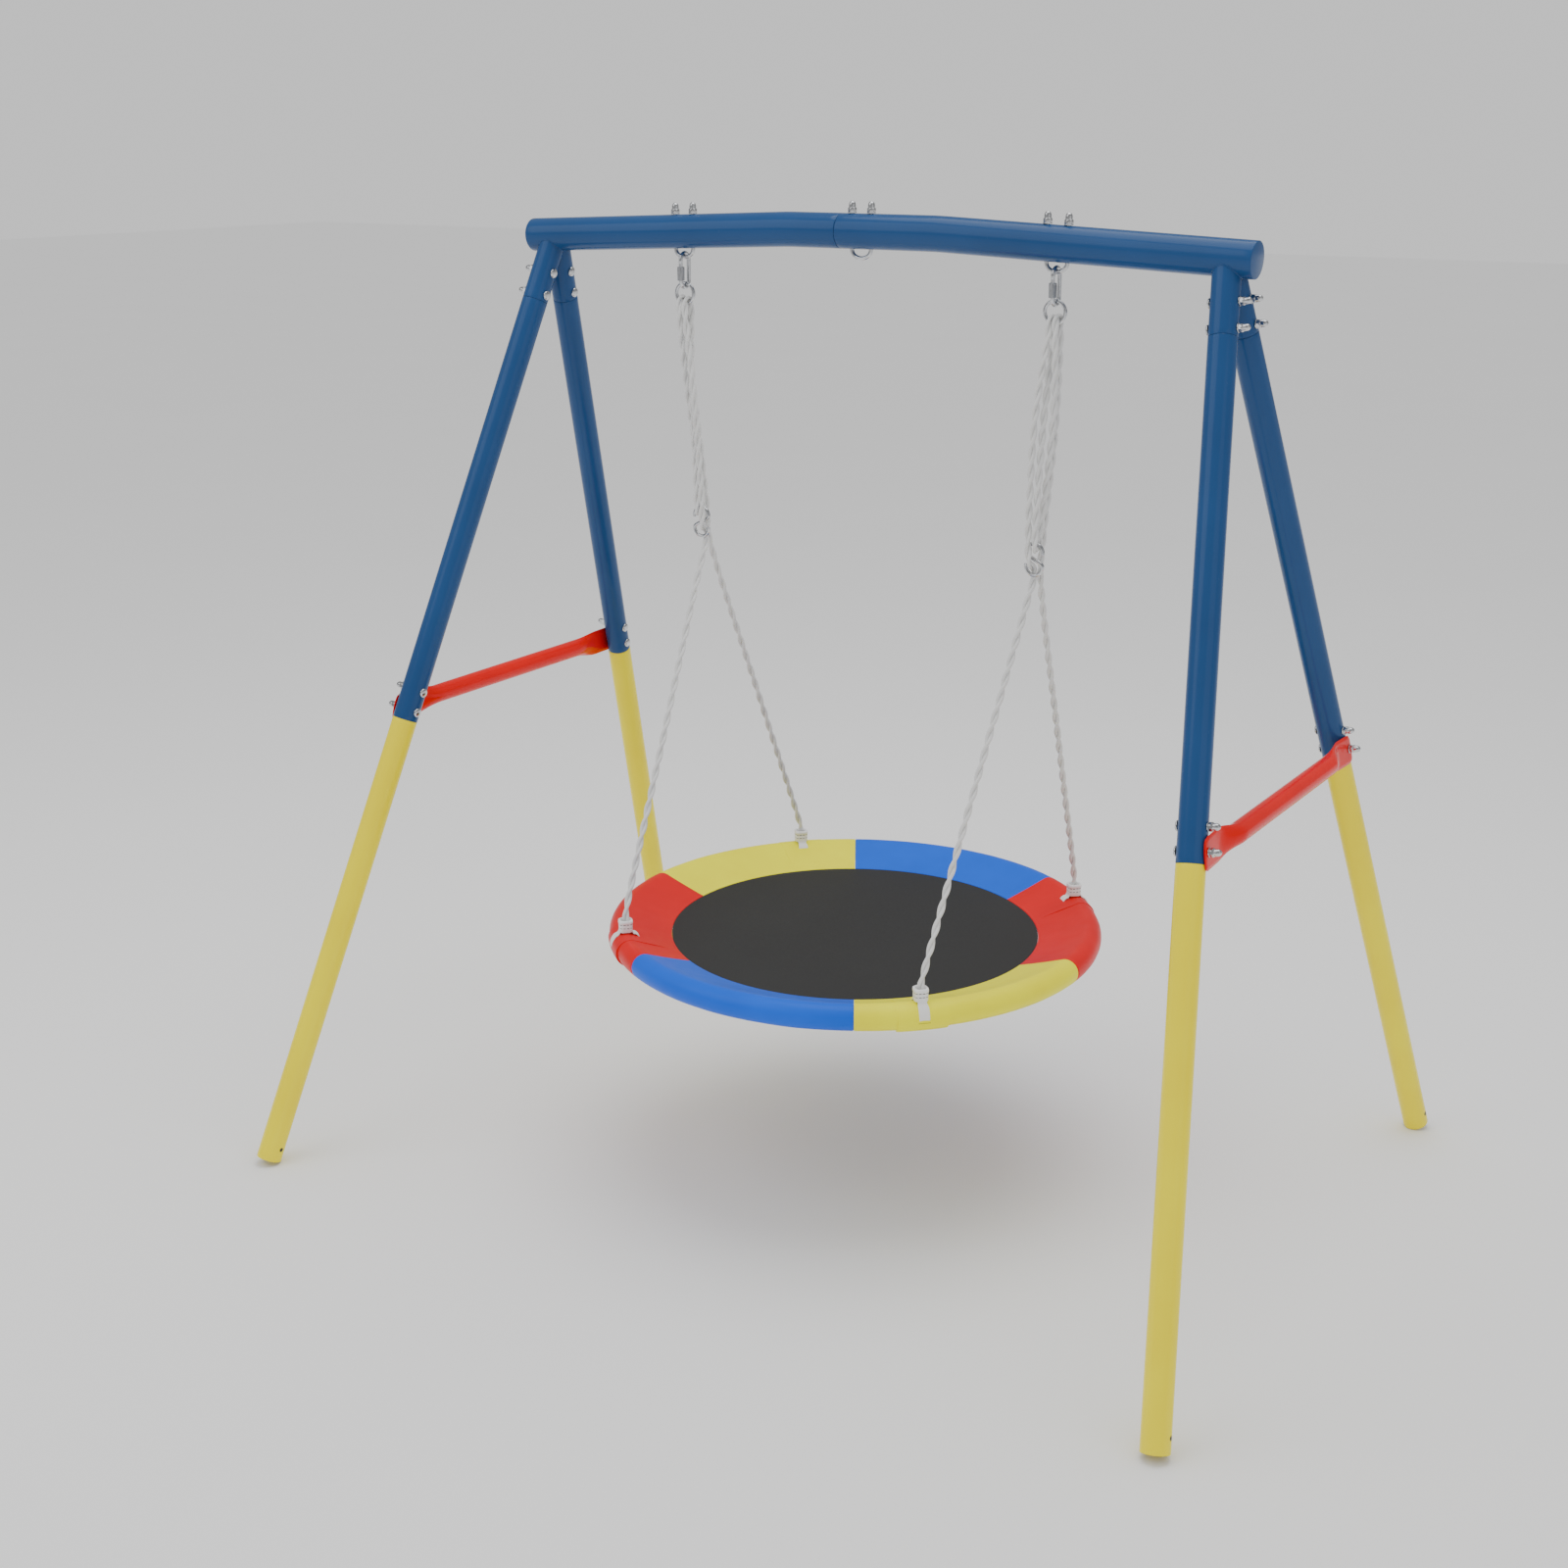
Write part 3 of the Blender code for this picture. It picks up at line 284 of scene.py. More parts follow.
def plated_steel(name, colour, smooth, rough):
    """Zinc plate with faint spangle, drawn lines and handling marks."""
    look = Shader(name)
    place = look.place()
    spangle = look.ramp(look.noise(place, 160.0, 3.0), 0.35, 0.65)
    base = look.mix(spangle, shade(colour, 0.86), shade(colour, 1.06))
    marks = look.ramp(look.noise(place, 60.0, 4.0, 0.7), 0.56, 0.72)
    stained = look.mix(look.maths("MULTIPLY", marks, 0.25), base, shade(colour, 0.55))
    gloss = look.span(look.noise(place, 90.0, 3.0), smooth, rough)
    return look.finished(Base_Color=stained, Roughness=gloss, Metallic=1.0,
                         Normal=look.bump(look.noise(place, 700.0, 2.0), 0.00004, 0.4))


def weave_height(look, place, pitch):
    """A plain weave: threads in two directions that pass over and under each other."""
    parts = look.add("ShaderNodeSeparateXYZ", None, Vector=place)
    across, along = parts.outputs[0], parts.outputs[1]
    turn = 2 * math.pi / pitch
    crossing = look.maths("MULTIPLY", look.wave(across, turn), look.wave(along, turn))
    warp, weft = look.wave(across, turn / 2), look.wave(along, turn / 2)
    threads = look.maths("ADD", look.maths("ABSOLUTE", warp), look.maths("ABSOLUTE", weft))
    return look.span(look.maths("ADD", look.maths("MULTIPLY", crossing, 0.5), threads), 0.0, 0.5)


def coated_cloth(name, colour):
    """Coated cover cloth: a fine weave under a satin coating, with soft creases and rub marks."""
    look = Shader(name)
    place = look.place("UV")
    solid = look.place()
    patches = look.ramp(look.noise(solid, 9.0, 3.0), 0.3, 0.7)
    base = look.mix(patches, shade(colour, 0.94), shade(colour, 1.04))
    weave = weave_height(look, place, 0.0022)
    threaded = look.mix(look.maths("MULTIPLY", weave, 0.10), base, shade(colour, 0.72))
    creases = look.noise(solid, 26.0, 4.0, 0.55)
    gloss = look.span(look.noise(solid, 40.0, 2.0), 0.30, 0.42)
    first = look.bump(creases, 0.0012, 0.22)
    return look.finished(Base_Color=threaded, Roughness=gloss, Specular_IOR_Level=0.17,
                         Normal=look.bump(weave, 0.00010, 0.45, Normal=first))


def mat_cloth(name):
    """The mat's coarse plain weave of flat plastic threads."""
    look = Shader(name)
    solid = look.place()
    weave = weave_height(look, solid, 0.0040)
    fuzz = look.noise(solid, 380.0, 2.0)
    tone = look.maths("ADD", look.maths("MULTIPLY", weave, 0.7), look.maths("MULTIPLY", fuzz, 0.3))
    base = look.mix(tone, (0.052, 0.052, 0.051, 1), (0.030, 0.030, 0.030, 1))
    faded = look.mix(look.ramp(look.noise(solid, 3.5, 4.0), 0.45, 0.8), base,
                     (0.046, 0.046, 0.045, 1))
    return look.finished(Base_Color=faded, Roughness=look.span(fuzz, 0.62, 0.82),
                         Specular_IOR_Level=0.15, Normal=look.bump(weave, 0.0003, 0.7))


def rope_fibre(name):
    """Twisted synthetic fibre: fine lines that run along each strand, with painted shade making the
    grooves between them grey.
    """
    look = Shader(name)
    place = look.place("UV")
    parts = look.add("ShaderNodeSeparateXYZ", None, Vector=place)
    lean = look.maths("ADD", look.maths("MULTIPLY", parts.outputs[1], 5200.0),
                      look.maths("MULTIPLY", parts.outputs[0], 420.0))
    solid = look.place()
    jitter = look.maths("MULTIPLY", look.noise(solid, 220.0, 3.0), 6.0)
    lines = look.span(look.maths("SINE", look.maths("ADD", lean, jitter)), 0.5, 1.0)
    cloudy = look.ramp(look.noise(solid, 30.0, 3.0), 0.3, 0.75)
    # painted shade: the colour goes grey where the fibre lines' bump is low, in the grooves
    base = look.mix(lines, (0.64, 0.64, 0.635, 1), (0.82, 0.82, 0.81, 1))
    soiled = look.mix(look.maths("MULTIPLY", cloudy, 0.35), base, (0.60, 0.595, 0.58, 1))
    return look.finished(Base_Color=soiled, Roughness=look.span(lines, 0.75, 0.55),
                         Sheen_Weight=0.25, Normal=look.bump(lines, 0.00020, 0.35))


def webbing_cloth(name):
    """White webbing: ribs across it and a fine twill along it, with painted shade darker in the low
    parts between them.
    """
    look = Shader(name)
    parts = look.add("ShaderNodeSeparateXYZ", None, Vector=look.place("UV"))
    along, across = parts.outputs[0], parts.outputs[1]
    ribs = look.wave(along, 2 * math.pi / 0.0016)
    twill = look.wave(look.maths("ADD", along, across), 2 * math.pi / 0.0024)
    height = look.span(look.maths("ADD", ribs, twill), 0.3, 0.6)
    solid = look.place()
    # painted shade: darker where the rib and twill bump is low
    base = look.mix(height, (0.78, 0.78, 0.77, 1), (0.92, 0.92, 0.91, 1))
    soiled = look.mix(look.ramp(look.noise(solid, 70.0, 3.0), 0.5, 0.9), base,
                      (0.80, 0.80, 0.78, 1))
    return look.finished(Base_Color=soiled, Roughness=look.span(height, 0.6, 0.8),
                         Normal=look.bump(height, 0.0002, 0.6))


def moulded_plastic(name, colour, smooth, rough):
    look = Shader(name)
    solid = look.place()
    base = look.mix(look.noise(solid, 50.0, 3.0), shade(colour, 0.96), shade(colour, 1.02))
    gloss = look.span(look.noise(solid, 120.0, 2.0), smooth, rough)
    return look.finished(Base_Color=base, Roughness=gloss,
                         Normal=look.bump(look.noise(solid, 900.0, 2.0), 0.00005, 0.4))


def foam_material(name):
    look = Shader(name)
    cells = look.add("ShaderNodeTexVoronoi", None, Vector=look.place(), Scale=600.0)
    depth = cells.outputs["Distance"]
    # painted shade: the cells' pits, where the bump is low, are darker
    base = look.mix(depth, (0.16, 0.16, 0.17, 1), (0.24, 0.24, 0.25, 1))
    return look.finished(Base_Color=base, Roughness=look.span(depth, 0.8, 0.98),
                         Normal=look.bump(depth, 0.0004, 0.6))


def make_materials():
    makers = {
        "frame_blue": (powder_coat, (0.018, 0.072, 0.205)),
        "frame_yellow": (powder_coat, (1.0, 0.82, 0.004)),
        "frame_red": (powder_coat, (0.80, 0.004, 0.003)),
        "zinc_steel": (plated_steel, (0.66, 0.67, 0.69), 0.12, 0.24),
        "sleeve_steel": (plated_steel, (0.42, 0.43, 0.45), 0.34, 0.5),
        "hoop_steel": (plated_steel, (0.45, 0.46, 0.48), 0.35, 0.5),
        "foam_grey": (foam_material,),
        "cover_red": (coated_cloth, (0.76, 0.008, 0.010)),
        "cover_blue": (coated_cloth, (0.005, 0.120, 0.78)),
        "cover_yellow": (coated_cloth, (1.0, 0.93, 0.006)),
        "mat_black": (mat_cloth,),
        "rope_white": (rope_fibre,),
        "webbing_white": (webbing_cloth,),
        "collar_white": (moulded_plastic, (0.88, 0.88, 0.88), 0.32, 0.48),
        # painted shade: near-black plastic for the dark insets that stand in for shadow in the
        # anchor holes, collar grooves and strap slots
        "slot_dark": (moulded_plastic, (0.03, 0.03, 0.03), 0.6, 0.8),
    }
    return {name: maker[0](name, *maker[1:]) for name, maker in makers.items()}


# ---- mesh helpers
def rings_mesh(rings, looped=False, smooth_angle=35):
    """Bridges rings of points, caps open ends, and lays a UV map in metres along and round it."""
    count = len(rings[0])
    points = np.array([[tuple(point) for point in ring] for ring in rings], float)
    total = len(rings)
    faces = []
    pairs = [(index, index + 1) for index in range(total - 1)]
    if looped:
        pairs.append((total - 1, 0))
    for low, high in pairs:
        for index in range(count):
            after = (index + 1) % count
            faces.append((low * count + index, low * count + after,
                          high * count + after, high * count + index))
    if not looped:
        faces.append(tuple(reversed(range(count))))
        faces.append(tuple(range((total - 1) * count, total * count)))
    mesh = bpy.data.meshes.new("surface")
    mesh.from_pydata([tuple(point) for point in points.reshape(-1, 3)], [], faces)

    steps = np.linalg.norm(np.diff(points, axis=0), axis=2).mean(axis=1)
    run = np.concatenate([[0.0], np.cumsum(steps), [0.0]])
    sides = np.linalg.norm(np.roll(points, -1, axis=1) - points, axis=2).mean(axis=0)
    reach = np.concatenate([[0.0], np.cumsum(sides)])
    uv = mesh.uv_layers.new(name="UVMap")
    values = []
    for low, _ in pairs:
        top = run[low] + (steps[low] if low < len(steps) else 0.0)
        for index in range(count):
            values += [run[low], reach[index], run[low], reach[index + 1],
                       top, reach[index + 1], top, reach[index]]
    values += [0.0] * (2 * len(mesh.loops) - len(values))
    uv.data.foreach_set("uv", values)
    mesh.shade_smooth()
    mesh.set_sharp_from_angle(angle=math.radians(smooth_angle))
    return mesh


def joined(meshes, smooth_angle=35):
    """One mesh from several, keeping their UV maps."""
    form = bmesh.new()
    for mesh in meshes:
        form.from_mesh(mesh)
        bpy.data.meshes.remove(mesh)
    whole = bpy.data.meshes.new("surface")
    form.to_mesh(whole)
    form.free()
    whole.shade_smooth()
    whole.set_sharp_from_angle(angle=math.radians(smooth_angle))
    return whole


def add_piece(name, mesh, slot, body, node=None):
    """Shows a mesh with its faces outwards, with its material and slot, riding on its body."""
    form = bmesh.new()
    form.from_mesh(mesh)
    bmesh.ops.recalc_face_normals(form, faces=form.faces)
    form.to_mesh(mesh)
    form.free()
    mesh.name = name
    piece = bpy.data.objects.new(name, mesh)
    mesh.materials.append(MATERIALS[slot])
    bpy.context.collection.objects.link(piece)
    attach(piece, body)
    if node:
        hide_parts(node)
    return piece


def turns(count):
    """Equal steps round a full circle."""
    return [2 * math.pi * index / count for index in range(count)]


def ring_points(station, sides, hint):
    """The corners of a round or hexagonal cross-section: (centre, axis, radius, hexagonal)."""
    centre, axis, radius, hexagonal = station
    axis = axis.normalized()
    side = (hint - axis * hint.dot(axis)).normalized()
    other = axis.cross(side)
    points = []
    for turn in turns(sides):
        reach = radius
        if hexagonal:
            reach = radius * math.cos(math.pi / 6) / math.cos((turn % (math.pi / 3)) - math.pi / 6)
        points.append(centre + (side * math.cos(turn) + other * math.sin(turn)) * reach)
    return points


def loft(stations, sides, hint, looped=False, smooth_angle=35):
    rings = [ring_points(station, sides, hint) for station in stations]
    return rings_mesh(rings, looped, smooth_angle)


def straight_stations(start, axis, profile):
    return [(start + axis * step[0], axis, step[1], len(step) > 2) for step in profile]


def arc_stations(centre, radius, first, last, count, across, rise, wire):
    """Cross-sections along an arc; angles are in degrees from across towards rise."""
    stations = []
    for index in range(count + 1):
        angle = math.radians(first + (last - first) * index / count)
        outward = across * math.cos(angle) + rise * math.sin(angle)
        heading = rise * math.cos(angle) - across * math.sin(angle)
        stations.append((centre + outward * radius, heading if last > first else -heading,
                         wire, False))
    return stations


def rounded_end(distance, radius, round_off, outward):
    """Profile steps for a tube's slightly rounded end edge; outward is 1 at a far end, -1 near."""
    steps = []
    for part in range(4):
        turn = math.pi / 2 * part / 3
        steps.append((distance - outward * round_off * (1 - math.sin(turn)),
                      radius - round_off * (1 - math.cos(turn))))
    return steps if outward > 0 else list(reversed(steps))


# ---- the steel frame
def side_name(side):
    return "right" if side > 0 else "left"


def corner_name(side, front):
    return ("front_" if front < 0 else "rear_") + side_name(side)


def beam_centre(x):
    """The crossbeam's centre line, with its two bends rounded over a few centimetres."""
    soften = 0.02
    beyond = abs(x) - BEAM_LEVEL_HALF
    drop = (beyond + math.sqrt(beyond * beyond + soften * soften * 0.25)) / 2
    return Vector((x, 0, BEAM_TOP_Z - drop * math.tan(BEAM_DROOP)))


def beam_axis(x):
    step = 0.0005
    return (beam_centre(x + step) - beam_centre(x - step)).normalized()


def leg_frame(side, front):
    flip = Vector((side, -front, 1))
    hip = LEG_HIP * flip
    axis = ((LEG_FOOT - LEG_HIP) * flip).normalized()
    outward = (ALONG * side - axis * axis.dot(ALONG * side)).normalized()
    return hip, axis, outward


def beam_half(side):
    """Half of the crossbeam with a rounded seam edge and a plain end disc."""
    edge = 0.0012
    if side < 0:
        first, last = -BEAM_HALF, BEAM_SEAM_X - 0.00015
    else:
        first, last = BEAM_SEAM_X + 0.00035, BEAM_HALF
    inner = np.linspace(first + edge, last - edge, 60)
    stations = []
    steps = rounded_end(first, BEAM_RADIUS, edge, -1) + [(x, BEAM_RADIUS) for x in inner[1:-1]]
    steps += rounded_end(last, BEAM_RADIUS, edge, 1)
    for x, radius in steps:
        stations.append((beam_centre(x), beam_axis(x), radius, False))
    pieces = [loft(stations, 64, UP)]
    if side < 0:
        spigot = BEAM_RADIUS - 0.0023
        pieces.append(loft([(beam_centre(x), ALONG, spigot, False)
                            for x in (last - 0.02, BEAM_SEAM_X + 0.02)], 48, UP))
    for front in (-1, 1):
        hip, axis, _ = leg_frame(side, front)
        profile = [(0.016, LEG_RADIUS)] + [(d, LEG_RADIUS) for d in np.linspace(0.03, 0.13, 8)]
        profile += rounded_end(STUB_END - 0.00015, LEG_RADIUS, LEG_EDGE, 1)
        profile += [(STUB_END - 0.00015, LEG_RADIUS - LEG_WALL), (STUB_END - 0.03, 0.0225)]
        pieces.append(loft(straight_stations(hip, axis, profile), 48, -UP))
        pieces.append(weld_bead(hip, axis))
    where = side_name(side)
    add_piece("beam_" + where, joined(pieces), "frame_blue", "frame", "crossbeam_" + where)


def weld_bead(hip, axis):
    """A rippled fillet of weld where a leg socket meets the crossbeam."""
    beam = beam_axis(hip.x)
    middle = beam_centre(hip.x)
    side_way = (UP - axis * UP.dot(axis)).normalized()
    other = axis.cross(side_way)
    count = 96
    spots, lifts = [], []
    for turn in turns(count):
        reach = side_way * math.cos(turn) + other * math.sin(turn)
        start = hip + reach * LEG_RADIUS - middle
        # solves |start + axis t| = beam radius, measured square to the beam
        flat_start = start - beam * start.dot(beam)
        flat_axis = axis - beam * axis.dot(beam)
        a = flat_axis.dot(flat_axis)
        b = flat_start.dot(flat_axis)
        c = flat_start.dot(flat_start) - BEAM_RADIUS ** 2
        t = (-b + math.sqrt(max(0.0, b * b - a * c))) / a
        spots.append(start + axis * t + middle)
        lifts.append((reach + (flat_start + flat_axis * t).normalized()).normalized())
    rings = []
    for index, (spot, turn) in enumerate(zip(spots, turns(count))):
        heading = (spots[(index + 1) % count] - spots[index - 1]).normalized()
        bulge = 0.0011 + 0.0003 * abs(math.sin(turn * WELD_RIPPLES / 2))
        rings.append(ring_points((spot, heading, bulge, False), 10, lifts[index]))
    return rings_mesh(rings, looped=True, smooth_angle=60)


def leg_tube(name, hip, axis, first, last, slot, node, spigot_up):
    """One length of leg tube: rounded edges, an open bottom, and a necked spigot above."""
    bore = LEG_RADIUS - LEG_WALL
    profile = [(first - spigot_up, bore - 0.0016), (first - spigot_up, bore - 0.0003),
               (first, bore - 0.0003)]
    profile += rounded_end(first, LEG_RADIUS, LEG_EDGE, -1)
    profile += [(d, LEG_RADIUS) for d in np.linspace(first + 0.01, last - 0.01, 40)]
    profile += rounded_end(last, LEG_RADIUS, 0.0007, 1)
    profile += [(last, bore + 0.0003), (last - 0.0005, bore), (last - 0.12, bore)]
    add_piece(name, loft(straight_stations(hip, axis, profile), 56, -UP), slot, "frame", node)


def legs(side, front):
    hip, axis, outward = leg_frame(side, front)
    where = corner_name(side, front)
    leg_tube("leg_upper_" + where, hip, axis, STUB_END + 0.00025, UPPER_LEG_END - 0.00015,
             "frame_blue", "upper_leg_" + where, 0.07)
    leg_tube("leg_lower_" + where, hip, axis, UPPER_LEG_END + 0.00025, LEG_LENGTH,
             "frame_yellow", "lower_leg_" + where, 0.08)
    # painted shade: a dark disc with a short rim laid on the tube at each anchor hole stands in for
    # the shaded inside of the hole; the tube itself has no hole cut
    centre = hip + axis * (LEG_LENGTH - ANCHOR_HOLE_UP)
    hole_shade_discs = []
    for way in (-1, 1):
        sideways = axis.cross(outward * way)
        rings = []
        for reach, skin in ((0.0002, 0.00012), (0.0022, 0.00012), (ANCHOR_HOLE_RADIUS, 0.00012),
                            (ANCHOR_HOLE_RADIUS, -0.0006), (0.0002, -0.0006)):
            ring = []
            for turn in turns(32):
                round_it = reach * math.sin(turn) / LEG_RADIUS
                normal = outward * way * math.cos(round_it) + sideways * math.sin(round_it)
                ring.append(centre + axis * reach * math.cos(turn) + normal * (LEG_RADIUS + skin))
            rings.append(ring)
        hole_shade_discs.append(rings_mesh(rings))
    add_piece("anchor_hole_painted_shade_" + where, joined(hole_shade_discs), "slot_dark", "frame")


def nut_profile(seat):
    """Washer, chamfered hexagonal nut and dome, as profile steps above a seat."""
    washer, hexagon, flat, dome = 0.0085, 0.0081, 0.0070, 0.0064
    low = seat + 0.0015
    top = low + 0.008
    steps = [
        (seat, 0.004), (seat, washer - 0.0003), (seat + 0.0003, washer),
        (low - 0.0003, washer), (low, washer - 0.0003), (low, flat),
        (low + 0.0009, hexagon, True), (top - 0.0010, hexagon, True), (top, flat),
        (top + 0.0003, dome),
    ]
    dome_low = top + 0.0045
    steps.append((dome_low, dome))
    for part in range(1, 8):
        turn = math.pi / 2 * part / 8
        steps.append((dome_low + 0.0078 * math.sin(turn), dome * math.cos(turn)))
    steps.append((dome_low + 0.0078, 0.0003))
    return steps


def leg_bolt(side, front, number):
    hip, axis, outward = leg_frame(side, front)
    centre = hip + axis * BOLT_STATIONS[number]
    seat = LEG_RADIUS + SEAT_GAP
    nut_seat = seat + (BRACE_PLATE if number == len(BOLT_STATIONS) - 1 else 0.0)
    rim = -seat - 0.0008
    profile = [(rim - BOLT_HEAD_CROWN, 0.0003)]
    for part in range(1, 9):
        turn = math.pi / 2 * part / 8
        profile.append((rim - BOLT_HEAD_CROWN * math.cos(turn), BOLT_HEAD_RADIUS * math.sin(turn)))
    profile += [(-seat, BOLT_HEAD_RADIUS), (-seat, 0.004)] + nut_profile(nut_seat)
    where = f"{corner_name(side, front)}_{number + 1}"
    mesh = loft(straight_stations(centre, outward, profile), 36, axis)
    add_piece("bolt_" + where, mesh, "zinc_steel", "frame", "leg_bolt_" + where)


def smooth_step(low, high, value):
    part = min(1.0, max(0.0, (value - low) / (high - low)))
    return part * part * (3 - 2 * part)


def brace(side):
    """A round tube whose pinched ends wrap a little over the legs they are bolted to."""
    hip, axis, outward = leg_frame(side, 1)
    bolt_point = hip + axis * BOLT_STATIONS[3]
    plate = bolt_point + outward * (LEG_RADIUS + SEAT_GAP + BRACE_HALF_THICK)
    flat_end = plate.y + BRACE_OVERHANG
    flat_start = plate.y - BRACE_FLAT_INSIDE
    round_start = plate.y - BRACE_ROUND_INSIDE
    sides = 64
    along = Vector((0, axis.y, axis.z)).normalized()

    def section(y, thick_scale):
        near = abs(y)
        flat = smooth_step(round_start, flat_start, near)
        thick = BRACE_HALF_THICK * thick_scale
        edge = smooth_step(flat_end - 0.014, flat_end, near)
        height = BRACE_HALF_HEIGHT - BRACE_TIP_NARROWER * edge
        points = []
        for turn in turns(sides):
            shallow = math.asin(math.sin(turn)) / (math.pi / 2)
            flat_z = (height - thick) * shallow + thick * math.sin(turn)
            flat_x = thick * max(-1.0, min(1.0, 3.0 * math.cos(turn)))
            z = BRACE_Z + BRACE_RADIUS * thick_scale * math.sin(turn) * (1 - flat) + flat_z * flat
            reach = near + flat * BRACE_END_SLANT * (z - plate.z) * axis.y / axis.z
            reach -= BRACE_END_ROUND * edge * (flat_z / height) ** 2
            past = max(0.0, (reach - plate.y) * abs(along.z) - (z - plate.z) * along.y
                       * math.copysign(1.0, along.z))
            sag = BRACE_WRAP - math.sqrt(BRACE_WRAP ** 2 - past ** 2)
            lean = outward.y * (reach - plate.y) + outward.z * (z - plate.z)
            plane_x = abs(plate.x) - lean / abs(outward.x)
            middle = BRACE_X * (1 - flat) + (plane_x - sag) * flat
            round_x = BRACE_RADIUS * thick_scale * math.cos(turn)
            x = middle + round_x * (1 - flat) + flat_x * flat
            points.append(Vector((side * x, math.copysign(reach, y), z)))
        return points

    half = [*np.linspace(0.0, round_start, 8), *np.linspace(round_start, flat_start, 22)[1:],
            *np.linspace(flat_start, flat_end, 26)[1:]]
    run = [-y for y in reversed(half[1:])] + half
    rings = [section(y, 0.55 if abs(y) == flat_end else 1.0) for y in run]
    where = side_name(side)
    mesh = rings_mesh(rings, smooth_angle=50)
    add_piece("brace_" + where, mesh, "frame_red", "frame", "cross_brace_" + where)


# ---- hanging hardware
def eye_bolt(place, x):
    bow_centre = beam_centre(x) - UP * EYE_BEND_DROP
    depth = UP * ((EYE_DROP - EYE_BEND_DROP) / EYE_HALF_SPAN)
    over_beam = BEAM_RADIUS / math.cos(BEAM_DROOP) + EYE_SEAT_GAP
    left, right = [straight_stations(beam_centre(leg_x) + UP * over_beam, UP, nut_profile(0.0))
                   for leg_x in (x - EYE_HALF_SPAN, x + EYE_HALF_SPAN)]
    stations = [(centre, -axis, radius, hexagonal)
                for centre, axis, radius, hexagonal in reversed(left)]
    stations += arc_stations(bow_centre, EYE_HALF_SPAN, 180, 360, 32, ALONG, depth, EYE_WIRE)
    stations += right
    mesh = loft(stations, 24, ACROSS)
    add_piece("u_bolt_" + place, mesh, "zinc_steel", "frame", "eye_bolt_" + place)


def quick_link(side):
    x = side * HANG_X
    top = Vector((x, 0, LINK_TOP_Z))
    low = Vector((x, 0, LINK_LOW_Z))
    bar = Vector((x, -LINK_HALF_WIDTH, 0))
    thread = [(LINK_GAP_TOP_Z, LINK_TIP), (LINK_GAP_TOP_Z + 0.0006, LINK_WIRE)]
    levels = np.arange(LINK_GAP_TOP_Z + 0.0010, LINK_TOP_Z - 0.006, THREAD_PITCH / 2)
    thread += [(z, LINK_WIRE - THREAD_DEPTH * (index % 2)) for index, z in enumerate(levels)]
    stations = straight_stations(bar, UP, thread)
    stations += arc_stations(top, LINK_HALF_WIDTH, 180, 0, 28, ACROSS, UP, LINK_WIRE)
    stations += arc_stations(low, LINK_HALF_WIDTH, 360, 180, 28, ACROSS, UP, LINK_WIRE)
    stations += straight_stations(bar, UP, [(LINK_GAP_LOW_Z - 0.0006, LINK_WIRE),
                                            (LINK_GAP_LOW_Z, LINK_TIP)])
    name = "link_" + side_name(side)
    mesh = loft(stations, 24, ALONG, smooth_angle=60)
    add_piece(name, mesh, "zinc_steel", name, "quick_" + name)


def link_sleeve(side):
    base = Vector((side * HANG_X, -LINK_HALF_WIDTH, 0))
    round_radius = SLEEVE_CORNER * 0.90
    profile = [
        (SLEEVE_LOW_Z, SLEEVE_BORE), (SLEEVE_LOW_Z, round_radius),
        (SLEEVE_LOW_Z + 0.0014, SLEEVE_CORNER, True),
        (SLEEVE_TOP_Z - 0.0040, SLEEVE_CORNER, True),
        (SLEEVE_TOP_Z - 0.0030, round_radius), (SLEEVE_TOP_Z - 0.0005, round_radius),
        (SLEEVE_TOP_Z, round_radius - 0.0005), (SLEEVE_TOP_Z, SLEEVE_BORE),
    ]
    name = "sleeve_" + side_name(side)
    mesh = loft(straight_stations(base, UP, profile), 36, ALONG, looped=True)
    add_piece(name, mesh, "sleeve_steel", name, "link_" + name)


def hanging_ring(side):
    centre = Vector((side * HANG_X, 0, RING_Z))
    stations = arc_stations(centre, RING_RADIUS, 0, 360, 96, ALONG, UP, RING_WIRE)[:-1]
    for index in RING_WELD:
        stations[index] = (*stations[index][:2], RING_WIRE + 0.0005, False)
    where = side_name(side)
    mesh = loft(stations, 24, ACROSS, looped=True, smooth_angle=60)
    add_piece("ring_" + where, mesh, "zinc_steel", "hanger_" + where, "hanging_ring_" + where)


def s_hook(side):
    across = ALONG * side
    upper = Vector((side * HOOK_X, HOOK_Y, HOOK_UPPER_Z))
    lower = Vector((side * HOOK_X, HOOK_Y, HOOK_LOWER_Z))
    over = arc_stations(upper, HOOK_LOOP, -HOOK_LIP, 180, 40, across, UP, HOOK_WIRE)
    stem = []
    drop = HOOK_UPPER_Z - HOOK_LOWER_Z
    for index in range(1, 24):
        part = index / 24
        sway = -math.cos(math.pi * part) * HOOK_LOOP
        heading = across * math.pi * math.sin(math.pi * part) * HOOK_LOOP - UP * drop
        stem.append((upper + across * sway - UP * drop * part, heading, HOOK_WIRE, False))
    under = arc_stations(lower, HOOK_LOOP, 0, -180 - HOOK_LIP, 40, across, UP, HOOK_WIRE)
    stations = over + stem + under
    bevel = 0.0006
    start, end = [(tip[0] + tip[1].normalized() * way * bevel, tip[1], HOOK_WIRE - bevel, False)
                  for tip, way in ((stations[0], -1), (stations[-1], 1))]
    where = side_name(side)
    mesh = loft([start] + stations + [end], 24, ACROSS)
    add_piece("hook_" + where, mesh, "zinc_steel", "hanger_" + where, "s_hook_" + where)


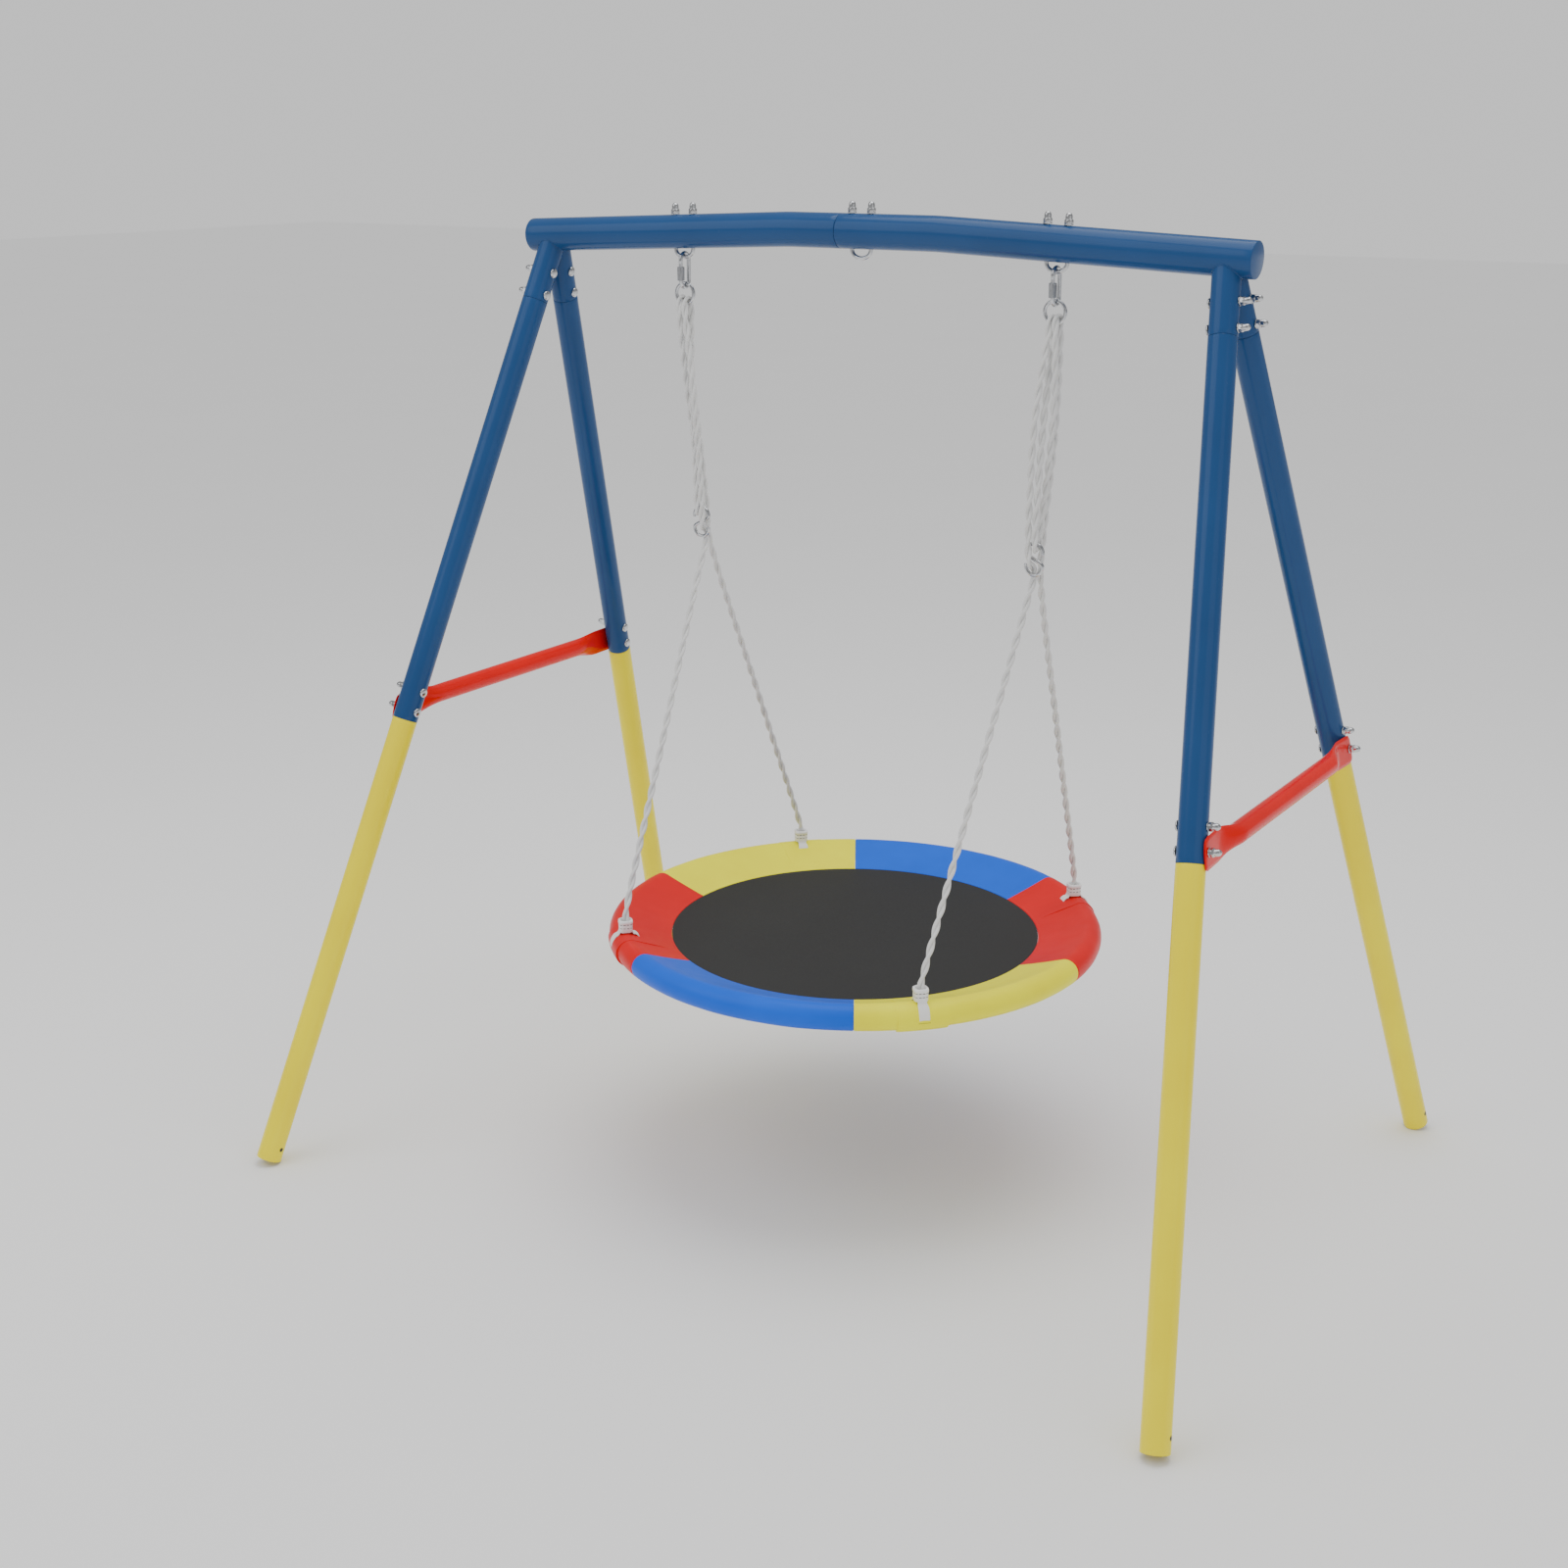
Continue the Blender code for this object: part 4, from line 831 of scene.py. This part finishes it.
# ---- the ropes
# The same route as the CAD rope: from the front collar up through the hook's lower loop, over the
# ring, down round the hook's upper loop, up and over the ring again, and down to the rear collar.
OVER_RING = ((0.0066, -0.0112, 1.7080), (0.0065, -0.0106, 1.7215), (0.0064, -0.0068, 1.7298),
             (0.0064, 0.0, 1.7327), (0.0064, 0.0068, 1.7298), (0.0065, 0.0106, 1.7215),
             (0.0066, 0.0112, 1.7080))
ROPE_ROUTE = (
    ("front_collar", 0.0, 0.0, 0.5420),
    ("front_collar", 0.0, 0.001, 0.5520),
    ("front_collar", 0.0015, 0.0085, 0.5720),
    ("front_collar", 0.0155, 0.1610, 0.8770),
    ("hook", -0.0060, -0.0150, 1.2050),
    ("hook", -0.0050, 0.0045, 1.2400),
    ("hook", -0.0046, 0.0098, 1.2530),
    ("hook", -0.0046, 0.0106, 1.2620),
    ("hook", -0.0048, 0.0080, 1.2705),
    ("hook", -0.0050, 0.0015, 1.2755),
    ("hook", -0.0056, -0.0055, 1.2795),
    ("hook", -0.0066, -0.0100, 1.2880),
    ("hook", -0.0076, -0.0108, 1.3000),
    ("hook", -0.0085, -0.0115, 1.3250),
    ("ring", -0.0265, -0.0140, 1.5500),
    *(("ring", -x, y, z) for x, y, z in OVER_RING),
    ("ring", -0.0145, -0.0010, 1.5500),
    ("hook", 0.0046, -0.0106, 1.3330),
    ("hook", 0.0046, -0.0106, 1.3185),
    ("hook", 0.0044, -0.0072, 1.3095),
    ("hook", 0.0042, 0.0, 1.3068),
    ("hook", 0.0044, 0.0072, 1.3095),
    ("hook", 0.0046, 0.0106, 1.3185),
    ("hook", 0.0046, 0.0106, 1.3330),
    ("ring", 0.0015, 0.0060, 1.5500),
    *(("ring", x, y, z) for x, y, z in OVER_RING),
    ("ring", -0.0015, 0.0240, 1.5500),
    ("hook", 0.0050, 0.0245, 1.3300),
    ("hook", 0.0025, 0.0240, 1.2900),
    ("hook", 0.0010, 0.0250, 1.2600),
    ("rear_collar", 0.0180, -0.1396, 0.8770),
    ("rear_collar", 0.0015, -0.0075, 0.5720),
    ("rear_collar", 0.0, -0.001, 0.5520),
    ("rear_collar", 0.0, 0.0, 0.5420),
)


def rope_route(side):
    corner = HANGER_RADIUS * math.cos(math.radians(45))
    homes = {"front_collar": (corner, -corner), "rear_collar": (corner, corner),
             "hook": (HOOK_X, HOOK_Y), "ring": (HANG_X, 0.0)}
    return [Vector((side * (homes[home][0] + x), homes[home][1] + y, z))
            for home, x, y, z in ROPE_ROUTE]


def smooth_points(route, longest):
    """Points on a centripetal Catmull-Rom curve through every point of the route."""
    ends = [route[0] * 2 - route[1]] + route + [route[-1] * 2 - route[-2]]
    points = []
    for index in range(1, len(ends) - 2):
        before, start, end, after = ends[index - 1:index + 3]
        knots = [0.0]
        for low, high in ((before, start), (start, end), (end, after)):
            knots.append(knots[-1] + math.sqrt((high - low).length))
        samples = max(1, math.ceil((end - start).length / longest))
        for step in range(samples):
            t = knots[1] + (knots[2] - knots[1]) * step / samples
            first = before.lerp(start, (t - knots[0]) / (knots[1] - knots[0]))
            second = start.lerp(end, (t - knots[1]) / (knots[2] - knots[1]))
            third = end.lerp(after, (t - knots[2]) / (knots[3] - knots[2]))
            early = first.lerp(second, (t - knots[0]) / (knots[2] - knots[0]))
            late = second.lerp(third, (t - knots[1]) / (knots[3] - knots[1]))
            points.append(early.lerp(late, (t - knots[1]) / (knots[2] - knots[1])))
    points.append(route[-1])
    return points


def headings(points):
    last = len(points) - 1
    return [(points[min(index + 1, last)] - points[max(index - 1, 0)]).normalized()
            for index in range(last + 1)]


def carried_frames(points):
    """A sideways direction at each point that turns no more than the path makes it."""
    frames = []
    side = ALONG
    for heading in headings(points):
        side = (side - heading * side.dot(heading)).normalized()
        frames.append((heading, side))
    return frames


def rope(side):
    """Two strands laid round each other along the route."""
    points = smooth_points(rope_route(side), 0.0035)
    frames = carried_frames(points)
    run = 0.0
    strands = ([], [])
    for index, (point, (heading, across)) in enumerate(zip(points, frames)):
        if index:
            run += (point - points[index - 1]).length
        other = heading.cross(across)
        for number in (0, 1):
            lay = 2 * math.pi * run / ROPE_TURN + math.pi * number
            arm = across * math.cos(lay) + other * math.sin(lay)
            strands[number].append(point + arm * ROPE_STRAND)
    meshes = []
    for line in strands:
        rings = [ring_points((spot, heading, ROPE_STRAND * 1.03, False), 14, across)
                 for spot, (heading, across) in zip(line, carried_frames(line))]
        meshes.append(rings_mesh(rings, smooth_angle=180))
    where = side_name(side)
    piece = add_piece("twisted_rope_" + where, joined(meshes, 180), "rope_white",
                      "hanger_" + where, "rope_" + where)


# ---- the seat
def around(angle):
    return (Vector((math.cos(angle), math.sin(angle), 0)),
            Vector((-math.sin(angle), math.cos(angle), 0)))


def band_tangent():
    """Where the cover leaves the padded tube for the mat, in degrees round the tube."""
    run, rise = SEAT_RADIUS - MAT_RADIUS, SEAT_Z - MAT_TOP_Z
    past = math.asin(COVER_RADIUS / math.hypot(run, rise))
    return 90 + math.degrees(math.atan2(rise, run) + past)


def cover_outline(puff):
    """(radius, height) round the cover: the band's top, the padded tube, the band's underside."""
    leave = band_tangent()
    outline = [(MAT_RADIUS + 0.0003, MAT_TOP_Z - 0.0010), (MAT_RADIUS + 0.0005, MAT_TOP_Z + 0.0004),
               (MAT_RADIUS + 0.0020, MAT_TOP_Z + 0.0014), (MAT_RADIUS + 0.0045, MAT_TOP_Z + 0.0016)]
    tube = COVER_RADIUS + puff
    touch = (SEAT_RADIUS + tube * math.cos(math.radians(leave)),
             SEAT_Z + tube * math.sin(math.radians(leave)))
    start = (MAT_RADIUS + 0.0075, MAT_TOP_Z + 0.0026)
    for step in range(13):
        part = step / 13
        sag = 0.0006 * math.sin(math.pi * part)
        outline.append((start[0] + (touch[0] - start[0]) * part,
                        start[1] + (touch[1] - start[1]) * part - sag))
    last = 130 - 360
    for step in range(49):
        angle = math.radians(leave + (last - leave) * step / 48)
        outline.append((SEAT_RADIUS + tube * math.cos(angle), SEAT_Z + tube * math.sin(angle)))
    under = (touch[0] - 0.0040, touch[1] - 0.0032)
    inner = (MAT_RADIUS + 0.0020, MAT_TOP_Z - 0.0012)
    for part in (0.12, 0.3, 0.55, 0.8, 1.0):
        outline.append((under[0] + (inner[0] - under[0]) * part,
                        under[1] + (inner[1] - under[1]) * part))
    return outline


def cover(index):
    """One colour's sixth of the cover, drawn in a little at its sewn ends."""
    colour = CLOTHS[index % 3]
    first = index * SECTION
    trim = 0.00016 / SEAT_RADIUS
    seam = [0, 0.0012, 0.003, 0.006]
    steps = seam + list(np.linspace(0.012, SECTION - 0.012, 56))
    steps += [SECTION - x for x in reversed(seam)]
    rings = []
    for step in steps:
        angle = first + step + (trim if step < 0.5 else -trim)
        outward = around(angle)[0]
        edge = min(step, SECTION - step) * SEAT_RADIUS
        draw = -0.0009 * math.exp(-(edge / 0.0014) ** 2)
        ripple = 0.00035 * noise.noise(Vector((outward.x * 9, outward.y * 9, index * 3.1)))
        rings.append([outward * radius + UP * height
                      for radius, height in cover_outline(draw + ripple)])
    node = colour.replace("_", f"_{index + 1}_")
    mesh = rings_mesh(rings, smooth_angle=50)
    piece = add_piece(f"cover_cloth_{index + 1}", mesh, colour, "seat", node)


def mat():
    """The mat, pulled flat by the band, with a little give towards the middle."""
    rings = []
    radii = [0.0005] + list(np.linspace(0.02, MAT_RADIUS - 0.002, 28)) + [MAT_RADIUS]
    outline = [(radius, 0.0) for radius in radii]
    outline += [(radius, MAT_THICK) for radius in reversed(radii)]
    for radius, below in outline:
        give = MAT_SAG * (1 - (radius / MAT_RADIUS) ** 2)
        rings.append([around(turn)[0] * radius + UP * (MAT_TOP_Z - below - give)
                      for turn in turns(144)])
    piece = add_piece("mat_cloth", rings_mesh(rings), "mat_black", "seat", "seat_mat")


def cover_point(place, lift, seat_angle):
    """A point a lift off the cover; place is degrees round the tube and metres down the band."""
    turn, down = math.radians(place[0]), place[1]
    slope = math.radians(band_tangent() - 90)
    radius = SEAT_RADIUS + (COVER_RADIUS + lift) * math.cos(turn) - down * math.cos(slope)
    height = SEAT_Z + (COVER_RADIUS + lift) * math.sin(turn) - down * math.sin(slope)
    return around(seat_angle)[0] * radius + UP * height


def patch(places, half_width, centre_angle, low, lifts, across=12):
    """A bent strip over the cover, with a lift off it for each of its places."""
    span = half_width / SEAT_RADIUS
    angles = [centre_angle + span * (-1 + 2 * step / across) for step in range(across + 1)]
    rings = []
    for place, lift in zip(places, lifts):
        rings.append([cover_point(place, lift, angle) for angle in angles]
                     + [cover_point(place, low, angle) for angle in reversed(angles)])
    return rings_mesh(rings, smooth_angle=40)


def wrap_flap(side, front):
    """The patch of the cover's own cloth that is wrapped and sewn round the tube at a hanger."""
    centre = math.atan2(front, side)
    index = int((math.degrees(centre) % 360) // 60)
    colour = CLOTHS[index % 3]
    where = corner_name(side, front)
    leave = band_tangent()
    band = math.hypot(SEAT_RADIUS - MAT_RADIUS, SEAT_Z - MAT_TOP_Z)
    places = [(turn, 0.0) for turn in np.linspace(-200, leave, 72)]
    places += [(leave, down) for down in np.linspace(0, band - 0.012, 30)[1:]]
    lifts = []
    for turn, down in places:
        swell = 0.0028 * smooth_step(-75, 10, -turn)
        fade = 0.0009 * smooth_step(0.3 * band, 0.8 * band, down)
        lifts.append(0.0007 + swell - fade)
    mesh = patch(places, FLAP_HALF_WIDTH, centre, -0.0004, lifts, 24)
    piece = add_piece("wrap_flap_" + where, mesh, colour, "seat")


def superellipse_ring(centre, outward, onward, half, power, sides=64):
    points = []
    for turn in turns(sides):
        c, s = math.cos(turn), math.sin(turn)
        reach = (abs(c) ** power + abs(s) ** power) ** (-1 / power)
        points.append(centre + (outward * c + onward * s) * reach * half)
    return points


def collar(side, front):
    """The white moulded collar: a rounded block with two grooves and a shallow mouth."""
    centre_angle = math.atan2(front, side)
    outward, onward = around(centre_angle)
    base = outward * HANGER_RADIUS
    half = COLLAR_HALF
    grooves = (COLLAR_LOW_Z + 0.0100, COLLAR_LOW_Z + 0.0172)
    profile = [(COLLAR_LOW_Z, half * 0.80), (COLLAR_LOW_Z + 0.0008, half * 0.90),
               (COLLAR_LOW_Z + 0.0020, half * 0.94)]
    for groove in grooves:
        profile += [(groove - 0.0008, half * 0.95), (groove - 0.0005, half * 0.88),
                    (groove + 0.0005, half * 0.88), (groove + 0.0008, half * 0.95)]
    profile += [(grooves[1] + 0.0016, half), (COLLAR_TOP_Z - 0.0036, half),
                (COLLAR_TOP_Z - 0.0016, half * 0.975), (COLLAR_TOP_Z - 0.0004, half * 0.90),
                (COLLAR_TOP_Z, half * 0.82), (COLLAR_TOP_Z - 0.0008, half * 0.72),
                (COLLAR_TOP_Z - 0.0030, half * 0.62), (COLLAR_FLOOR_Z, half * 0.58)]
    rings = []
    for height, width in profile:
        power = 3.4 if height < COLLAR_TOP_Z - 0.0010 else 2.6
        rings.append(superellipse_ring(base + UP * height, outward, onward, width, power))
    bottom = base + UP * (COLLAR_FLOOR_Z - 0.0004)
    rings.append(superellipse_ring(bottom, outward, onward, 0.001, 2))
    where = corner_name(side, front)
    mesh = rings_mesh(rings, smooth_angle=50)
    add_piece("collar_" + where, mesh, "collar_white", "seat", "rope_collar_" + where)
    # painted shade: dark dashes laid in both grooves stand in for the shadow inside them
    groove_shade_dashes = []
    for groove in grooves:
        level = base + UP * groove
        inside, outside = [superellipse_ring(level, outward, onward, half * share, 3.4, 96)
                           for share in (0.84, 0.915)]
        for start in range(0, 96, 8):
            rise = UP * 0.00045
            rings = [(inside[k] - rise, outside[k] - rise, outside[k] + rise, inside[k] + rise)
                     for k in range(start + 1, start + 7)]
            groove_shade_dashes.append(rings_mesh(rings))
    add_piece("collar_groove_painted_shade_" + where, joined(groove_shade_dashes), "slot_dark", "seat")


def strap(side, front):
    """White webbing from inside the collar over the tube, and in at two slots."""
    centre_angle = math.atan2(front, side)
    leave = band_tangent()
    outward, onward = around(centre_angle)
    lift = 0.0030
    spine = []
    collar_out = (0.0118, COLLAR_LOW_Z + 0.004 - SEAT_Z)
    for angle in (-12, -7, -2, 6, 14, 22, 30, 38, 44):
        sink = 0.0034 * smooth_step(3, 12, -angle)
        reach = COVER_RADIUS + lift + 0.0012 - sink
        turn = math.radians(angle)
        spine.append((reach * math.cos(turn), reach * math.sin(turn)))
    spine += [(0.0158, 0.0242), (0.0135, 0.0268), collar_out, (0.0100, collar_out[1] + 0.004)]
    spine += [(-0.0100, collar_out[1] + 0.004), (-collar_out[0], collar_out[1]), (-0.0135, 0.0268),
              (-0.0160, 0.0243)]
    start = math.radians(leave)
    slope = start - math.pi / 2
    for down in (0.007, 0.011, 0.0145, 0.018):
        sink = 0.0034 * smooth_step(0.012, 0.018, down)
        reach = COVER_RADIUS + lift - sink
        spine.append((reach * math.cos(start) - down * math.cos(slope),
                      reach * math.sin(start) - down * math.sin(slope)))
    rings = []
    fine = smooth_points([Vector((x, z, 0)) for x, z in spine], 0.0015)
    for spot, heading in zip(fine, headings(fine)):
        normal = Vector((-heading.y, heading.x, 0))
        narrow = 1.0 - 0.16 * smooth_step(0.020, 0.028, spot.y)
        ring = []
        for share, push in ((-1, 0), (-0.96, -1), (0, -1), (0.96, -1), (1, 0), (0.96, 1), (0, 1),
                            (-0.96, 1)):
            flat = spot + normal * STRAP_HALF_THICK * push
            ring.append(outward * (HANGER_RADIUS + flat.x) + UP * (SEAT_Z + flat.y)
                        + onward * STRAP_HALF_WIDTH * narrow * share)
        rings.append(ring)
    where = corner_name(side, front)
    mesh = rings_mesh(rings, smooth_angle=50)
    add_piece("strap_" + where, mesh, "webbing_white", "seat", "hanger_strap_" + where)
    # painted shade: dark patches at the strap's two slots stand in for the shadow where the webbing
    # goes in
    slots = []
    for first, last, lift in (((-11.8, 0), (-10.6, 0), 0.0036),
                              ((leave, 0.0168), (leave, 0.0180), 0.0010)):
        middle = ((first[0] + last[0]) / 2, (first[1] + last[1]) / 2)
        slots.append(patch((first, middle, last), STRAP_HALF_WIDTH + 0.0003, centre_angle,
                           0.0004, [lift] * 3, 6))
    add_piece("strap_slot_painted_shade_" + where, joined(slots), "slot_dark", "seat")


# ---- the whole swing
add_camera()
MATERIALS = make_materials()
add_studio()

for side in (-1, 1):
    rope(side)
    beam_half(side)
    brace(side)
    for front in (-1, 1):
        legs(side, front)
        for number in range(len(BOLT_STATIONS)):
            leg_bolt(side, front, number)
    quick_link(side)
    link_sleeve(side)
    hanging_ring(side)
    s_hook(side)
for place, x in (("left", -HANG_X), ("spare", 0.0), ("right", HANG_X)):
    eye_bolt(place, x)

for index in range(6):
    cover(index)
mat()
for side in (-1, 1):
    for front in (-1, 1):
        wrap_flap(side, front)
        collar(side, front)
        strap(side, front)
for node, slot in (("seat_hoop_1", "hoop_steel"), ("seat_hoop_2", "hoop_steel"),
                   ("foam_sleeve_1", "foam_grey"), ("foam_sleeve_2", "foam_grey")):
    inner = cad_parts[node]
    inner.data.materials.clear()
    inner.data.materials.append(MATERIALS[slot])
